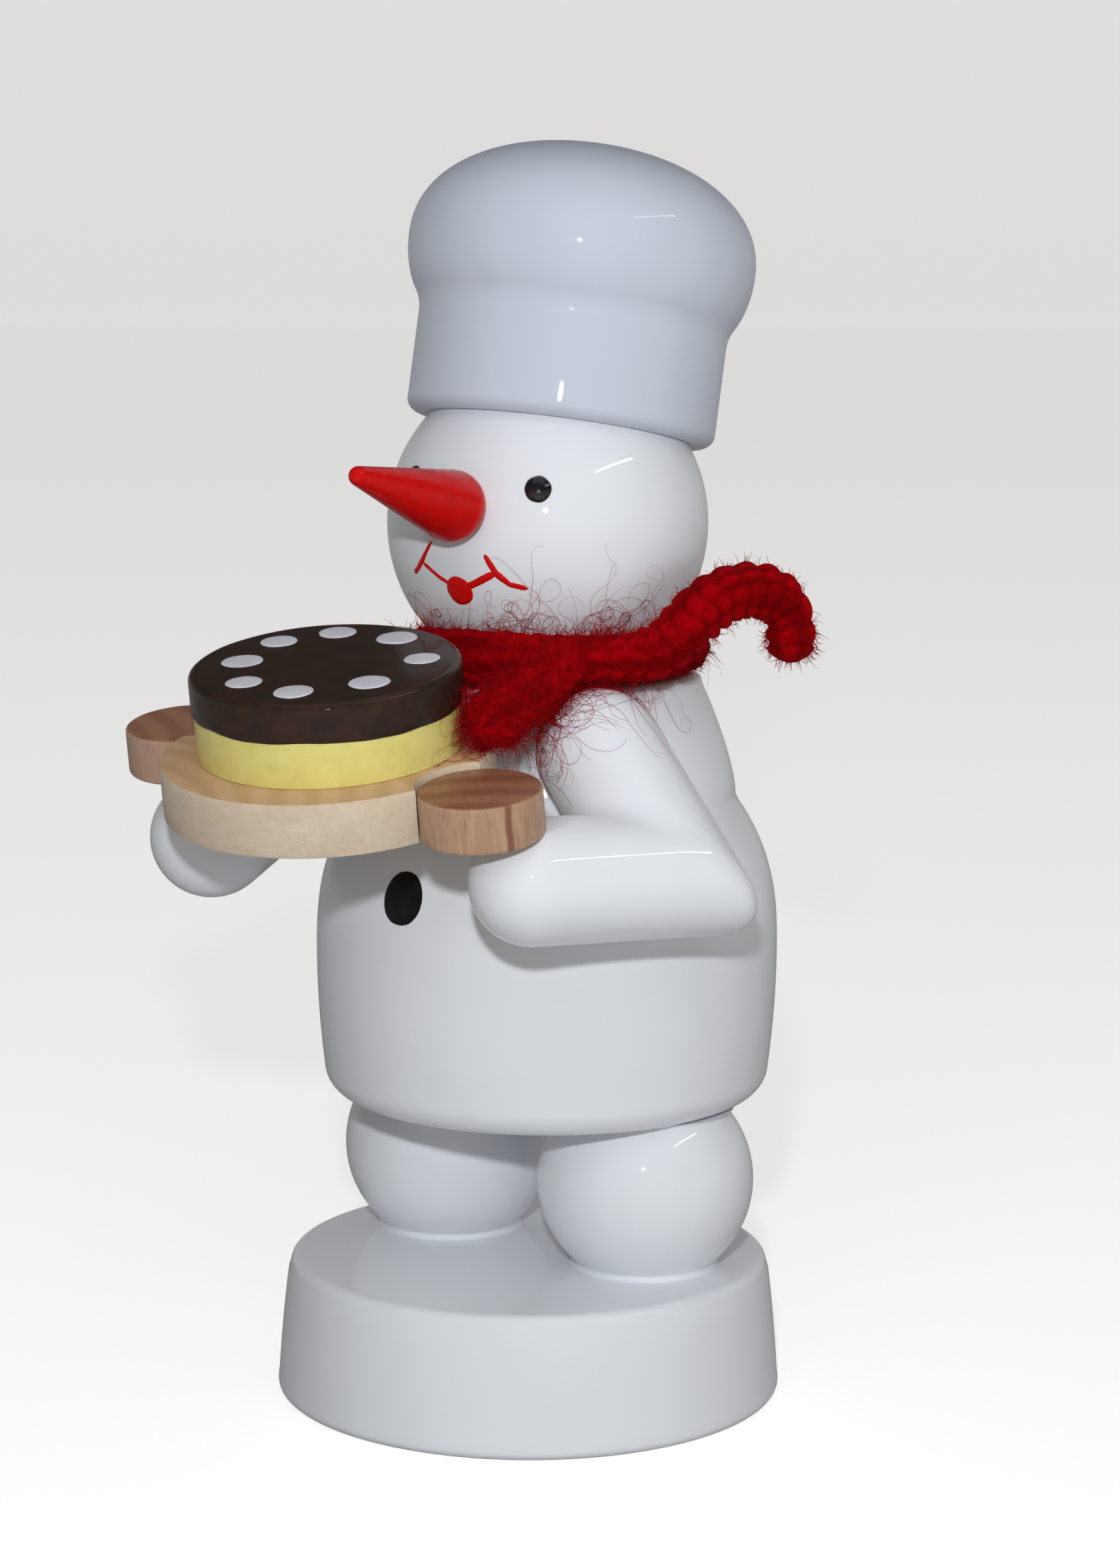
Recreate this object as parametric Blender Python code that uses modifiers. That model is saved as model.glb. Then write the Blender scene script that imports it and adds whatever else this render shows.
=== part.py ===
"""Wooden snowman figure that carries a cake on a round tray.

Lengths are in metres, +Z is up and the origin is the centre of the base's underside. The figure
faces -Y, so its left hand is on the +X side. Every wooden piece is turned or cut from round stock
and pinned or glued to the next one; the scarf is one length of knitted wool cord. Touching pieces
keep GAP between them.
"""

from math import asin, atan2, cos, degrees, pi, radians, sin, sqrt, tan

import bmesh
import bpy
from mathutils import Matrix, Vector

MM = 0.001
GAP = 0.3 * MM  # glue line kept between pieces that touch
CORD_GAP = 0.15 * MM

# Base disc
BASE_HEIGHT = 9.0 * MM
BASE_RADIUS = 16.35 * MM  # at the foot of the side
BASE_TOP_RADIUS = 15.5 * MM
BASE_TOP_ROUND = 0.7 * MM
BASE_FOOT_ROUND = 0.6 * MM

# Feet: two balls, cut flat below and above
FOOT_RADIUS = 6.95 * MM
FOOT_SPREAD = 7.95 * MM  # of each foot's axis from the middle
AXIS_Y = 1.83 * MM  # of the body and, nearly, of the feet
FOOT_CENTRE_HEIGHT = 14.67 * MM

# Body: belly and chest in one turned piece
BODY_BOTTOM = 19.44 * MM
BELLY_RADIUS = 14.9 * MM
BELLY_WIDEST = 29.0 * MM
BELLY_FOOT_RADIUS = 14.42 * MM  # where the side meets the lower rounding
BELLY_ROUND = 1.9 * MM
WAIST_HEIGHT = 38.95 * MM
WAIST_RADIUS = 12.0 * MM
BELLY_CURVE = 2.6  # power of the belly's upper shoulder
CHEST_START = 39.25 * MM
CHEST_RADIUS = 12.1 * MM
CHEST_TOP = 46.0 * MM
CHEST_DRAW_IN = 2.15 * MM  # radius lost between CHEST_START and CHEST_TOP
CHEST_CURVE = 1.4
BODY_TOP = 46.9 * MM
CHEST_ROUND = 1.1 * MM

# Head and hat share one axis, leaning back from the body's
HEAD_RADIUS = 10.23 * MM
HEAD_CENTRE = Vector((0.0, 1.71, 56.41)) * MM
HEAD_LEAN = radians(11.9)
HAT_BRIM = 5.95 * MM  # the hat's underside, above the head's centre
HAT_BAND_RADIUS = 9.87 * MM
HAT_BAND_TOP = 12.75 * MM
HAT_CROWN_RADIUS = 11.12 * MM
HAT_CROWN_WIDEST = 17.15 * MM
HAT_CROWN_TOP = 24.1 * MM
HAT_CROWN_POWER = 2.15

# Nose: a cone with a round shoulder and a round tip
NOSE_TURN = radians(3.6)  # towards +X
NOSE_RISE = radians(2.6)  # above the square to the head's axis
NOSE_SHIFT = Vector((0.35, 0.0, -1.0)) * MM  # of the nose's axis from the head's centre
NOSE_RADIUS = 2.25 * MM
NOSE_TIP_RADIUS = 0.6 * MM
NOSE_START = 10.5 * MM  # the nose's flat back, from the head's centre
NOSE_END = 22.1 * MM
NOSE_SHOULDER = 1.1 * MM

# Arms: each is an upper and a lower length of dowel, mitred at the elbow and domed at the free ends
ARM_RADIUS = 3.85 * MM
SHOULDER = Vector((10.9, -7.5, 43.8)) * MM  # centre of the dome
ELBOW = Vector((17.1, -8.6, 37.1)) * MM
HAND = Vector((12.6, -16.5, 37.25)) * MM
ELBOW_CORNER = 5.7 * MM  # the elbow's outer corner is taken off this far from the mitre's middle

# Tray, its two handles and the cake, all square to the tray's tilted axis
TRAY_CENTRE = Vector((-0.74, -19.35, 44.29)) * MM  # middle of the top face
TRAY_DIP_FORWARD = radians(10.0)
TRAY_DIP_SIDE = radians(2.9)
TRAY_TURN = radians(-3.9)
TRAY_RADIUS = 10.1 * MM
TRAY_THICKNESS = 3.4 * MM
HANDLE_RADIUS = 3.7 * MM
HANDLE_THICKNESS = 2.9 * MM
HANDLE_OFFSET = 12.15 * MM
HANDLE_DROP = 0.37 * MM  # of the handle's top below the tray's
CAKE_RADIUS = 8.25 * MM
CAKE_HEIGHT = 5.25 * MM
CAKE_OFFSET = Vector((-0.13, 0.55, 0.0)) * MM
CAKE_EDGE = 0.45 * MM

# Pins
LEG_PIN_RADIUS = 2.0 * MM
NECK_PIN_RADIUS = 2.5 * MM
HAT_PIN_RADIUS = 2.0 * MM
SHOULDER_PIN_RADIUS = 1.25 * MM
NOSE_PIN_RADIUS = 1.1 * MM
PIN_SIDES = 16

# Scarf cord
CORD_RADIUS = 1.65 * MM
CORD_STEP = 1.45 * MM  # between the tube's rings

WHITE = (0.86, 0.87, 0.87)
HAT_WHITE = (0.78, 0.80, 0.84)


def clear_scene():
    for obj in list(bpy.data.objects):
        bpy.data.objects.remove(obj, do_unlink=True)


def new_collection(name):
    collection = bpy.data.collections.new(name)
    bpy.context.scene.collection.children.link(collection)
    return collection


def make_material(name, colour, roughness):
    material = bpy.data.materials.new(name)
    material.use_nodes = True
    shader = material.node_tree.nodes["Principled BSDF"]
    shader.inputs["Base Color"].default_value = (*colour, 1.0)
    shader.inputs["Roughness"].default_value = roughness
    shader.inputs["Metallic"].default_value = 0.0
    return material


def add_object(name, mesh, place, material):
    obj = bpy.data.objects.new(name, mesh)
    PARTS.objects.link(obj)
    obj.matrix_world = place
    obj.data.materials.append(material)
    return obj


def as_cutter(obj):
    for collection in list(obj.users_collection):
        collection.objects.unlink(obj)
    CUTTERS.objects.link(obj)
    obj.hide_render = True
    obj.display_type = "WIRE"
    return obj


def aim(origin, direction):
    """Matrix at origin with its Z axis along direction."""
    return Matrix.Translation(origin) @ Vector(direction).to_track_quat("Z", "Y").to_matrix().to_4x4()


def arc(centre_r, centre_z, radius, start, end, count):
    """Outline points (radius, height) on a circle, from angle start to end in degrees."""
    angles = [radians(start + (end - start) * i / count) for i in range(count + 1)]
    return [(centre_r + radius * cos(a), centre_z + radius * sin(a)) for a in angles]


def turned(name, outline, place, material, steps=36):
    """A turned piece: the outline runs from the top down its outer side, spun round Z."""
    mesh = bpy.data.meshes.new(name)
    points = [(r, 0.0, z) for r, z in outline]
    mesh.from_pydata(points, [(i, i + 1) for i in range(len(points) - 1)], [])
    obj = add_object(name, mesh, place, material)
    screw = obj.modifiers.new("Turn", "SCREW")
    screw.axis = "Z"
    screw.steps = steps
    screw.render_steps = steps
    screw.use_merge_vertices = True
    screw.merge_threshold = 0.00001
    screw.use_smooth_shade = True
    return obj


def round_bar(name, start, end, radius, material, sides=PIN_SIDES, edge=0.0):
    """A straight cylinder from start to end, with its rims rounded by edge."""
    start, end = Vector(start), Vector(end)
    bm = bmesh.new()
    length = (end - start).length
    bmesh.ops.create_cone(
        bm, cap_ends=True, segments=sides, radius1=radius, radius2=radius, depth=length
    )
    mesh = bpy.data.meshes.new(name)
    bm.to_mesh(mesh)
    bm.free()
    obj = add_object(name, mesh, aim((start + end) / 2, end - start), material)
    if edge:
        bevel = obj.modifiers.new("Rim", "BEVEL")
        bevel.width = edge
        bevel.segments = 2
        bevel.limit_method = "ANGLE"
        bevel.angle_limit = radians(60)
    return obj


def bar_cutter(name, start, end, radius, sides=PIN_SIDES):
    return as_cutter(round_bar(name, start, end, radius, LACQUER, sides))


def half_space(name, point, outward, size=30 * MM):
    """A cutter block that takes everything beyond the plane through point, on the outward side."""
    bm = bmesh.new()
    bmesh.ops.create_cube(bm, size=size)
    mesh = bpy.data.meshes.new(name)
    bm.to_mesh(mesh)
    bm.free()
    direction = Vector(outward).normalized()
    obj = add_object(name, mesh, aim(Vector(point) + direction * size / 2, direction), LACQUER)
    return as_cutter(obj)


def cut(obj, *cutters):
    for cutter in cutters:
        boolean = obj.modifiers.new("Cut " + cutter.name, "BOOLEAN")
        boolean.operation = "DIFFERENCE"
        boolean.solver = "EXACT"
        boolean.object = cutter
    return obj


def mirrored(point):
    return Vector((-point.x, point.y, point.z))


def body_outline(grow=0.0):
    """The body's outline from the top down; grow adds a clearance all round it."""
    foot = BELLY_ROUND
    lower = arc(BELLY_FOOT_RADIUS - foot, BODY_BOTTOM + foot, foot + grow, 0, -90, 3)
    belly = []
    for i in range(6):
        share = 1 - i / 5
        height = BELLY_WIDEST + (WAIST_HEIGHT - BELLY_WIDEST) * share
        loss = (BELLY_RADIUS - WAIST_RADIUS) * share**BELLY_CURVE
        belly.append((BELLY_RADIUS - loss + grow, height))
    belly.append(((BELLY_RADIUS + BELLY_FOOT_RADIUS) / 2 + 0.12 * MM + grow, 24.8 * MM))
    chest = []
    for i in range(5):
        share = 1 - i / 4
        height = CHEST_START + (CHEST_TOP - CHEST_START) * share
        chest.append((CHEST_RADIUS - CHEST_DRAW_IN * share**CHEST_CURVE + grow, height))
    rim = arc(
        CHEST_RADIUS - CHEST_DRAW_IN - 0.95 * CHEST_ROUND,
        BODY_TOP - CHEST_ROUND,
        CHEST_ROUND + grow,
        90,
        30,
        3,
    )
    top = [(0.0, BODY_TOP + grow)]
    bottom = [(0.0, BODY_BOTTOM - grow)]
    return top + rim + chest + belly + lower + bottom


def make_base():
    top = BASE_TOP_RADIUS - BASE_TOP_ROUND
    upper = arc(top, BASE_HEIGHT - BASE_TOP_ROUND, BASE_TOP_ROUND, 90, 4, 4)
    lower = arc(BASE_RADIUS - BASE_FOOT_ROUND, BASE_FOOT_ROUND, BASE_FOOT_ROUND, 3, -90, 3)
    middle = [((BASE_TOP_RADIUS + BASE_RADIUS) / 2 + 0.1 * MM, 0.5 * BASE_HEIGHT)]
    outline = [(0.0, BASE_HEIGHT)] + upper + middle + lower + [(0.0, 0.0)]
    base = turned("base", outline, Matrix.Identity(4), LACQUER)
    cut(base, *LEG_HOLES.values())


def make_leg(side, sign):
    """One foot ball with the pin that joins it to the base and the body."""
    low = BASE_HEIGHT + GAP - FOOT_CENTRE_HEIGHT
    high = BODY_BOTTOM - GAP - FOOT_CENTRE_HEIGHT
    start = degrees(asin(high / FOOT_RADIUS))
    end = degrees(asin(low / FOOT_RADIUS))
    outline = [(0.0, high)] + arc(0.0, 0.0, FOOT_RADIUS, start, end, 9) + [(0.0, low)]
    centre = Vector((sign * FOOT_SPREAD, AXIS_Y, FOOT_CENTRE_HEIGHT))
    foot = turned(f"{side}_foot", outline, Matrix.Translation(centre), LACQUER, 28)
    cut(foot, LEG_HOLES[side])
    low_end = centre + Vector((0, 0, 4.3 * MM - centre.z))
    high_end = centre + Vector((0, 0, 25.6 * MM - centre.z))
    round_bar(f"{side}_leg_dowel", low_end, high_end, LEG_PIN_RADIUS, BARE_WOOD)


def make_body():
    body = turned("body", body_outline(), Matrix.Translation((0, AXIS_Y, 0)), LACQUER)
    seat = turned(
        "head_seat",
        arc(0.0, 0.0, HEAD_RADIUS + GAP, 90, -90, 18),
        Matrix.Translation(HEAD_CENTRE),
        LACQUER,
    )
    cut(body, as_cutter(seat), NECK_HOLE, *LEG_HOLES.values(), *SHOULDER_HOLES.values())


def make_head():
    brim = HAT_BRIM - GAP
    start = degrees(asin(brim / HEAD_RADIUS))
    outline = [(0.0, brim)] + arc(0.0, 0.0, HEAD_RADIUS, start, -90, 13)
    head = turned("head", outline, HEAD_FRAME, LACQUER)
    cut(head, NECK_HOLE, HAT_HOLE, NOSE_HOLE)
    round_bar(
        "neck_dowel",
        HEAD_FRAME @ Vector((0, 0, -17.4 * MM)),
        HEAD_FRAME @ Vector((0, 0, -4.6 * MM)),
        NECK_PIN_RADIUS,
        BARE_WOOD,
    )


def make_hat():
    rise = HAT_CROWN_TOP - HAT_CROWN_WIDEST
    crown = []
    for i in range(10):
        angle = pi / 2 * (1 - i / 9)
        radius = HAT_CROWN_RADIUS * max(cos(angle), 0.0) ** (2 / HAT_CROWN_POWER)
        crown.append((radius, HAT_CROWN_WIDEST + rise * sin(angle) ** (2 / HAT_CROWN_POWER)))
    crown[0] = (0.0, HAT_CROWN_TOP)
    drop = 4.6 * MM
    inset = 2.53 * MM
    skirt = []
    for i in range(1, 5):
        share = 0.93 * i / 4
        radius = HAT_CROWN_RADIUS - inset * (1 - sqrt(1 - share**2))
        skirt.append((radius, HAT_CROWN_WIDEST - drop * share))
    edge = 0.35 * MM
    band = [(HAT_BAND_RADIUS - 0.03 * MM, HAT_BAND_TOP - 0.1 * MM)]
    brim = arc(HAT_BAND_RADIUS - edge, HAT_BRIM + edge, edge, 0, -90, 2)
    hat = turned("hat", crown + skirt + band + brim + [(0.0, HAT_BRIM)], HEAD_FRAME, HAT_LACQUER)
    cut(hat, HAT_HOLE)
    round_bar(
        "hat_dowel",
        HEAD_FRAME @ Vector((0, 0, 0.9 * MM)),
        HEAD_FRAME @ Vector((0, 0, 11.4 * MM)),
        HAT_PIN_RADIUS,
        BARE_WOOD,
    )


def make_nose():
    """Cone with a spigot behind it, turned round its own axis, which points out of the face."""
    tip = NOSE_END - NOSE_TIP_RADIUS
    widest = NOSE_START + NOSE_SHOULDER * sin(radians(75))
    slope = degrees(atan2(NOSE_RADIUS - NOSE_TIP_RADIUS, tip - widest))
    end_cap = arc(0.0, tip, NOSE_TIP_RADIUS, 90, slope, 4)
    shoulder = []
    for i in range(5):
        angle = radians(slope - (slope + 75) * i / 4)
        radius = NOSE_RADIUS - NOSE_SHOULDER * 0.62 * (1 - cos(angle))
        shoulder.append((radius, widest + NOSE_SHOULDER * sin(angle)))
    neck = [(NOSE_PIN_RADIUS, shoulder[-1][1]), (NOSE_PIN_RADIUS, 6.2 * MM), (0.0, 6.2 * MM)]
    turned("nose", end_cap + shoulder + neck, aim(NOSE_ORIGIN, NOSE_AXIS), RED, 24)


def arm_piece(name, dome, elbow, mitre_side):
    """A length of dowel, domed at one end and mitred at the elbow."""
    overrun = 8 * MM
    length = (elbow - dome).length + overrun
    cap = arc(0.0, length, ARM_RADIUS, 90, 0, 6)
    outline = cap + [(ARM_RADIUS, 0.0), (0.0, 0.0)]
    away = (dome - elbow).normalized()
    piece = turned(name, outline, aim(elbow - away * overrun, away), LACQUER, 28)
    return cut(piece, half_space(name + "_mitre", elbow + mitre_side * GAP / 2, -mitre_side))


def make_arm(side, flip):
    shoulder, elbow, hand = flip(SHOULDER), flip(ELBOW), flip(HAND)
    up = (shoulder - elbow).normalized()
    forward = (hand - elbow).normalized()
    across = (up - forward).normalized()  # normal of the mitre plane, towards the upper arm
    inward = (up + forward).normalized()
    corner = half_space(f"{side}_elbow_corner", elbow - inward * ELBOW_CORNER, -inward)
    upper = arm_piece(f"{side}_upper_arm", shoulder, elbow, across)
    cut(upper, corner, BODY_ROOM, SHOULDER_HOLES[side])
    lower = arm_piece(f"{side}_forearm", hand, elbow, -across)
    seat = TRAY_FRAME @ Vector((0, 0, -HANDLE_DROP - HANDLE_THICKNESS - GAP))
    cut(lower, corner, half_space(f"{side}_hand_seat", seat, TRAY_UP))
    start, end = shoulder_pin(shoulder, 0.0)
    round_bar(f"{side}_shoulder_dowel", start, end, SHOULDER_PIN_RADIUS, BARE_WOOD)


def shoulder_pin(shoulder, extra):
    """Ends of the level pin from the chest into the upper arm's dome."""
    middle = Vector((0, AXIS_Y, shoulder.z))
    out = (shoulder - middle).normalized()
    return middle + out * (7.2 * MM - extra), shoulder + out * (0.2 * MM + extra)


def make_tray():
    top = TRAY_FRAME @ Vector((0, 0, 0))
    under = TRAY_FRAME @ Vector((0, 0, -TRAY_THICKNESS))
    tray = round_bar("tray", under, top, TRAY_RADIUS, MAPLE, 56, 0.25 * MM)
    for side, sign in SIDES.items():
        high = TRAY_FRAME @ Vector((sign * HANDLE_OFFSET, 0, -HANDLE_DROP))
        low = TRAY_FRAME @ Vector((sign * HANDLE_OFFSET, 0, -HANDLE_DROP - HANDLE_THICKNESS))
        round_bar(f"{side}_tray_handle", low, high, HANDLE_RADIUS, DARK_WOOD, 32, 0.25 * MM)
        reach = TRAY_UP * 2 * MM
        notch = bar_cutter(f"{side}_notch", low - reach, high + reach, HANDLE_RADIUS + GAP, 32)
        cut(tray, notch)
    cut(tray, BODY_ROOM)


def make_cake():
    rounding = arc(CAKE_RADIUS - CAKE_EDGE, CAKE_HEIGHT - CAKE_EDGE, CAKE_EDGE, 90, 0, 3)
    foot = arc(CAKE_RADIUS - 0.2 * MM, GAP + 0.2 * MM, 0.2 * MM, 0, -90, 2)
    outline = [(0.0, CAKE_HEIGHT)] + rounding + foot + [(0.0, GAP)]
    turned("cake", outline, TRAY_FRAME @ Matrix.Translation(CAKE_OFFSET), CAKE_PAINT)


def on_neck(turn, radius, height):
    """A point round the body's axis; turn is 0 at the front and 90 at the left shoulder."""
    angle = radians(turn)
    return Vector((radius * sin(angle) * MM, AXIS_Y - radius * cos(angle) * MM, height * MM))


def scarf_route():
    """The cord's own points with its thickness there, from the front end to the hooked back end."""
    front_end = [
        (Vector((9.0, -17.0, 46.1)) * MM, 0.92),
        (Vector((8.7, -14.2, 46.85)) * MM, 1.05),
        (Vector((8.5, -11.2, 47.65)) * MM, 1.05),
        (Vector((8.45, -8.0, 48.8)) * MM, 0.93),
        (Vector((8.45, -5.2, 49.0)) * MM, 0.84),
    ]
    neck = [
        (on_neck(62, 9.5, 48.75), 0.78),
        (on_neck(82, 9.25, 48.6), 0.8),
        (on_neck(104, 9.0, 48.55), 0.82),
        (on_neck(128, 8.85, 48.5), 0.8),
        (on_neck(152, 8.7, 48.45), 0.77),
        (on_neck(176, 8.6, 48.4), 0.75),
        (on_neck(200, 8.5, 48.35), 0.73),
        (on_neck(224, 8.35, 48.3), 0.7),
        (on_neck(248, 8.2, 48.25), 0.67),
        (on_neck(272, 8.1, 48.2), 0.65),
        (on_neck(296, 8.1, 48.2), 0.65),
        (on_neck(318, 8.5, 48.35), 0.74),
        (on_neck(340, 9.2, 48.6), 0.88),
        (on_neck(360, 9.9, 48.8), 0.97),
        (on_neck(380, 10.9, 48.95), 1.0),
        (on_neck(398, 12.0, 49.05), 0.92),
        (on_neck(413, 12.6, 49.1), 0.86),
    ]
    back_end = [
        (Vector((11.75, -2.95, 49.5)) * MM, 0.88),
        (Vector((12.5, -1.45, 50.6)) * MM, 0.95),
        (Vector((13.1, -0.1, 51.8)) * MM, 1.0),
        (Vector((13.8, 1.45, 52.7)) * MM, 1.0),
        (Vector((14.55, 3.0, 53.0)) * MM, 1.0),
        (Vector((15.2, 4.4, 52.7)) * MM, 0.97),
        (Vector((15.65, 5.45, 51.8)) * MM, 0.92),
        (Vector((15.85, 5.8, 50.5)) * MM, 0.88),
        (Vector((15.9, 5.9, 48.3)) * MM, 0.86),
    ]
    return front_end + neck + back_end


def smooth_route(route, step):
    """Points every step along a Catmull-Rom curve through the route, each with its thickness."""
    fine = []
    for i in range(len(route) - 1):
        (p1, w1), (p2, w2) = route[i], route[i + 1]
        p0 = route[i - 1][0] if i else p1 * 2 - p2
        p3 = route[i + 2][0] if i + 2 < len(route) else p2 * 2 - p1
        for j in range(20):
            t = j / 20
            a = (p1 * 2) + (p2 - p0) * t
            b = (p0 * 2 - p1 * 5 + p2 * 4 - p3) * t**2
            c = (p1 * 3 - p0 - p2 * 3 + p3) * t**3
            fine.append(((a + b + c) / 2, w1 + (w2 - w1) * t))
    fine.append(route[-1])
    lengths = [0.0]
    for (a, _), (b, _) in zip(fine, fine[1:]):
        lengths.append(lengths[-1] + (b - a).length)
    count = round(lengths[-1] / step)
    points, at = [], 0
    for i in range(count + 1):
        goal = lengths[-1] * i / count
        while at < len(fine) - 2 and lengths[at + 1] < goal:
            at += 1
        share = (goal - lengths[at]) / (lengths[at + 1] - lengths[at])
        (a, wa), (b, wb) = fine[at], fine[at + 1]
        points.append((a.lerp(b, share), wa + (wb - wa) * share))
    return points


def make_scarf():
    curve = bpy.data.curves.new("scarf", "CURVE")
    curve.dimensions = "3D"
    curve.bevel_depth = CORD_RADIUS
    curve.bevel_resolution = 2
    curve.use_fill_caps = True
    points = smooth_route(scarf_route(), CORD_STEP)
    spline = curve.splines.new("POLY")
    spline.points.add(len(points) - 1)
    for spot, (place, width) in zip(spline.points, points):
        spot.co = (*place, 1.0)
        spot.radius = width
    spline.use_smooth = True
    obj = bpy.data.objects.new("scarf", curve)
    PARTS.objects.link(obj)
    obj.data.materials.append(WOOL)


clear_scene()
PARTS = new_collection("wooden_snowman_figure")
CUTTERS = new_collection("cutters")
LACQUER = make_material("white_lacquer", WHITE, 0.18)
HAT_LACQUER = make_material("hat_lacquer", HAT_WHITE, 0.2)
RED = make_material("red_lacquer", (0.60, 0.012, 0.008), 0.2)
MAPLE = make_material("pale_wood", (0.60, 0.42, 0.26), 0.55)
DARK_WOOD = make_material("handle_wood", (0.38, 0.20, 0.12), 0.5)
BARE_WOOD = make_material("dowel_wood", (0.66, 0.49, 0.30), 0.6)
CAKE_PAINT = make_material("cake_paint", (0.62, 0.55, 0.20), 0.25)
WOOL = make_material("red_wool", (0.30, 0.004, 0.008), 0.9)
SIDES = {"left": 1, "right": -1}

HEAD_FRAME = Matrix.Translation(HEAD_CENTRE) @ Matrix.Rotation(-HEAD_LEAN, 4, "X")
NOSE_ORIGIN = HEAD_FRAME @ NOSE_SHIFT
NOSE_HEADING = Vector((sin(NOSE_TURN), -cos(NOSE_TURN), tan(NOSE_RISE))).normalized()
NOSE_AXIS = HEAD_FRAME.to_3x3() @ NOSE_HEADING
TRAY_UP = Vector((tan(TRAY_DIP_SIDE), -tan(TRAY_DIP_FORWARD), 1.0)).normalized()
across = Vector((cos(TRAY_TURN), sin(TRAY_TURN), 0.0))
across = (across - TRAY_UP * across.dot(TRAY_UP)).normalized()
TRAY_AXES = Matrix((across, TRAY_UP.cross(across), TRAY_UP)).transposed().to_4x4()
TRAY_FRAME = Matrix.Translation(TRAY_CENTRE) @ TRAY_AXES

LEG_HOLES = {}
SHOULDER_HOLES = {}
for side, sign in SIDES.items():
    foot = Vector((sign * FOOT_SPREAD, AXIS_Y, 0.0))
    low, high = foot + Vector((0, 0, 4.0 * MM)), foot + Vector((0, 0, 25.9 * MM))
    LEG_HOLES[side] = bar_cutter(f"{side}_leg_hole", low, high, LEG_PIN_RADIUS + GAP)
    shoulder = SHOULDER if sign > 0 else mirrored(SHOULDER)
    low, high = shoulder_pin(shoulder, GAP)
    SHOULDER_HOLES[side] = bar_cutter(f"{side}_shoulder_hole", low, high, SHOULDER_PIN_RADIUS + GAP)
NECK_HOLE = bar_cutter(
    "neck_hole",
    HEAD_FRAME @ Vector((0, 0, -17.7 * MM)),
    HEAD_FRAME @ Vector((0, 0, -4.3 * MM)),
    NECK_PIN_RADIUS + GAP,
)
HAT_HOLE = bar_cutter(
    "hat_hole",
    HEAD_FRAME @ Vector((0, 0, 0.6 * MM)),
    HEAD_FRAME @ Vector((0, 0, 11.7 * MM)),
    HAT_PIN_RADIUS + GAP,
)
NOSE_HOLE = bar_cutter(
    "nose_hole",
    NOSE_ORIGIN + NOSE_AXIS * 5.9 * MM,
    NOSE_ORIGIN + NOSE_AXIS * 12.0 * MM,
    NOSE_PIN_RADIUS + GAP,
)
BODY_ROOM = as_cutter(
    turned("body_room", body_outline(GAP), Matrix.Translation((0, AXIS_Y, 0)), LACQUER)
)

make_base()
make_leg("left", 1)
make_leg("right", -1)
make_body()
make_head()
make_hat()
make_nose()
make_arm("left", Vector)
make_arm("right", mirrored)
make_tray()
make_cake()
make_scarf()
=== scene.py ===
"""Looks of the wooden snowman figure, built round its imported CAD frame.

Lengths are in metres, +Z is up, and the figure faces -Y with its left hand on the +X side. Every wooden
piece is made again at a finer step than its CAD node, with its paint, glue lines and grain. The scarf is a
knitted cord with a nap of short fibres and loose ones that cling to the head, the arm and the chest.
"""

from math import acos, asin, atan2, cos, degrees, pi, radians, sin, sqrt, tan

import bmesh
import bpy
import numpy as np
from mathutils import Matrix, Vector, noise


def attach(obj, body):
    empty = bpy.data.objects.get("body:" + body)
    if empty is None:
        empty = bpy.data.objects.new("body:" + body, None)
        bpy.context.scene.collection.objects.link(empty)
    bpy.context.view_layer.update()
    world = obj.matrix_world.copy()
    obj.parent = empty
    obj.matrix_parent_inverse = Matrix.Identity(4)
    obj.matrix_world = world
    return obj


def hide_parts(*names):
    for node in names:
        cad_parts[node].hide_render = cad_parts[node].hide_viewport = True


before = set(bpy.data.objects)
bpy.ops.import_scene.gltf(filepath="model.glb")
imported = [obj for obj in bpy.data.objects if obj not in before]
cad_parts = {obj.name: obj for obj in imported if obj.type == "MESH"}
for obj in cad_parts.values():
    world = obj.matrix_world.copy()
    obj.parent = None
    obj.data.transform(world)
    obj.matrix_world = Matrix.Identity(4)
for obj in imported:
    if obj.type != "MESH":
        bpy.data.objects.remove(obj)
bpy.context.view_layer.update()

MM = 0.001

# Driving dimensions, in millimetres, as in the CAD model
BASE_HEIGHT = 9.0
BASE_RADIUS = 16.35
BASE_TOP_RADIUS = 15.5
FOOT_RADIUS = 6.95
FOOT_SPREAD = 7.95
AXIS_Y = 1.83
FOOT_CENTRE_HEIGHT = 14.67
BODY_BOTTOM = 19.44
BELLY_RADIUS = 14.9
BELLY_WIDEST = 29.0
BELLY_FOOT_RADIUS = 14.42
BELLY_ROUND = 1.9
WAIST_HEIGHT = 38.95
WAIST_RADIUS = 12.0
BELLY_CURVE = 2.6
CHEST_START = 39.25
CHEST_RADIUS = 12.1
CHEST_TOP = 46.0
CHEST_DRAW_IN = 2.15
CHEST_CURVE = 1.4
BODY_TOP = 46.9
CHEST_ROUND = 1.1
HEAD_RADIUS = 10.23
HEAD_CENTRE = Vector((0.0, 1.71, 56.41))
HEAD_LEAN = radians(11.9)
HAT_BRIM = 5.95
HAT_BAND_RADIUS = 9.87
HAT_CROWN_RADIUS = 11.12
HAT_CROWN_WIDEST = 17.15
HAT_CROWN_TOP = 24.1
HAT_CROWN_POWER = 2.15
HAT_SKIRT_DROP = 4.6
HAT_SKIRT_INSET = 2.53
HAT_SKIRT_SHARE = 0.76
NOSE_TURN = radians(3.6)
NOSE_RISE = radians(2.6)
NOSE_SHIFT = Vector((0.35, 0.0, -1.0))
NOSE_RADIUS = 2.25
NOSE_TIP_RADIUS = 0.6
NOSE_START = 10.5
NOSE_END = 22.1
NOSE_SHOULDER = 1.1
ARM_RADIUS = 3.85
SHOULDER = Vector((10.9, -7.5, 43.8))
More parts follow.
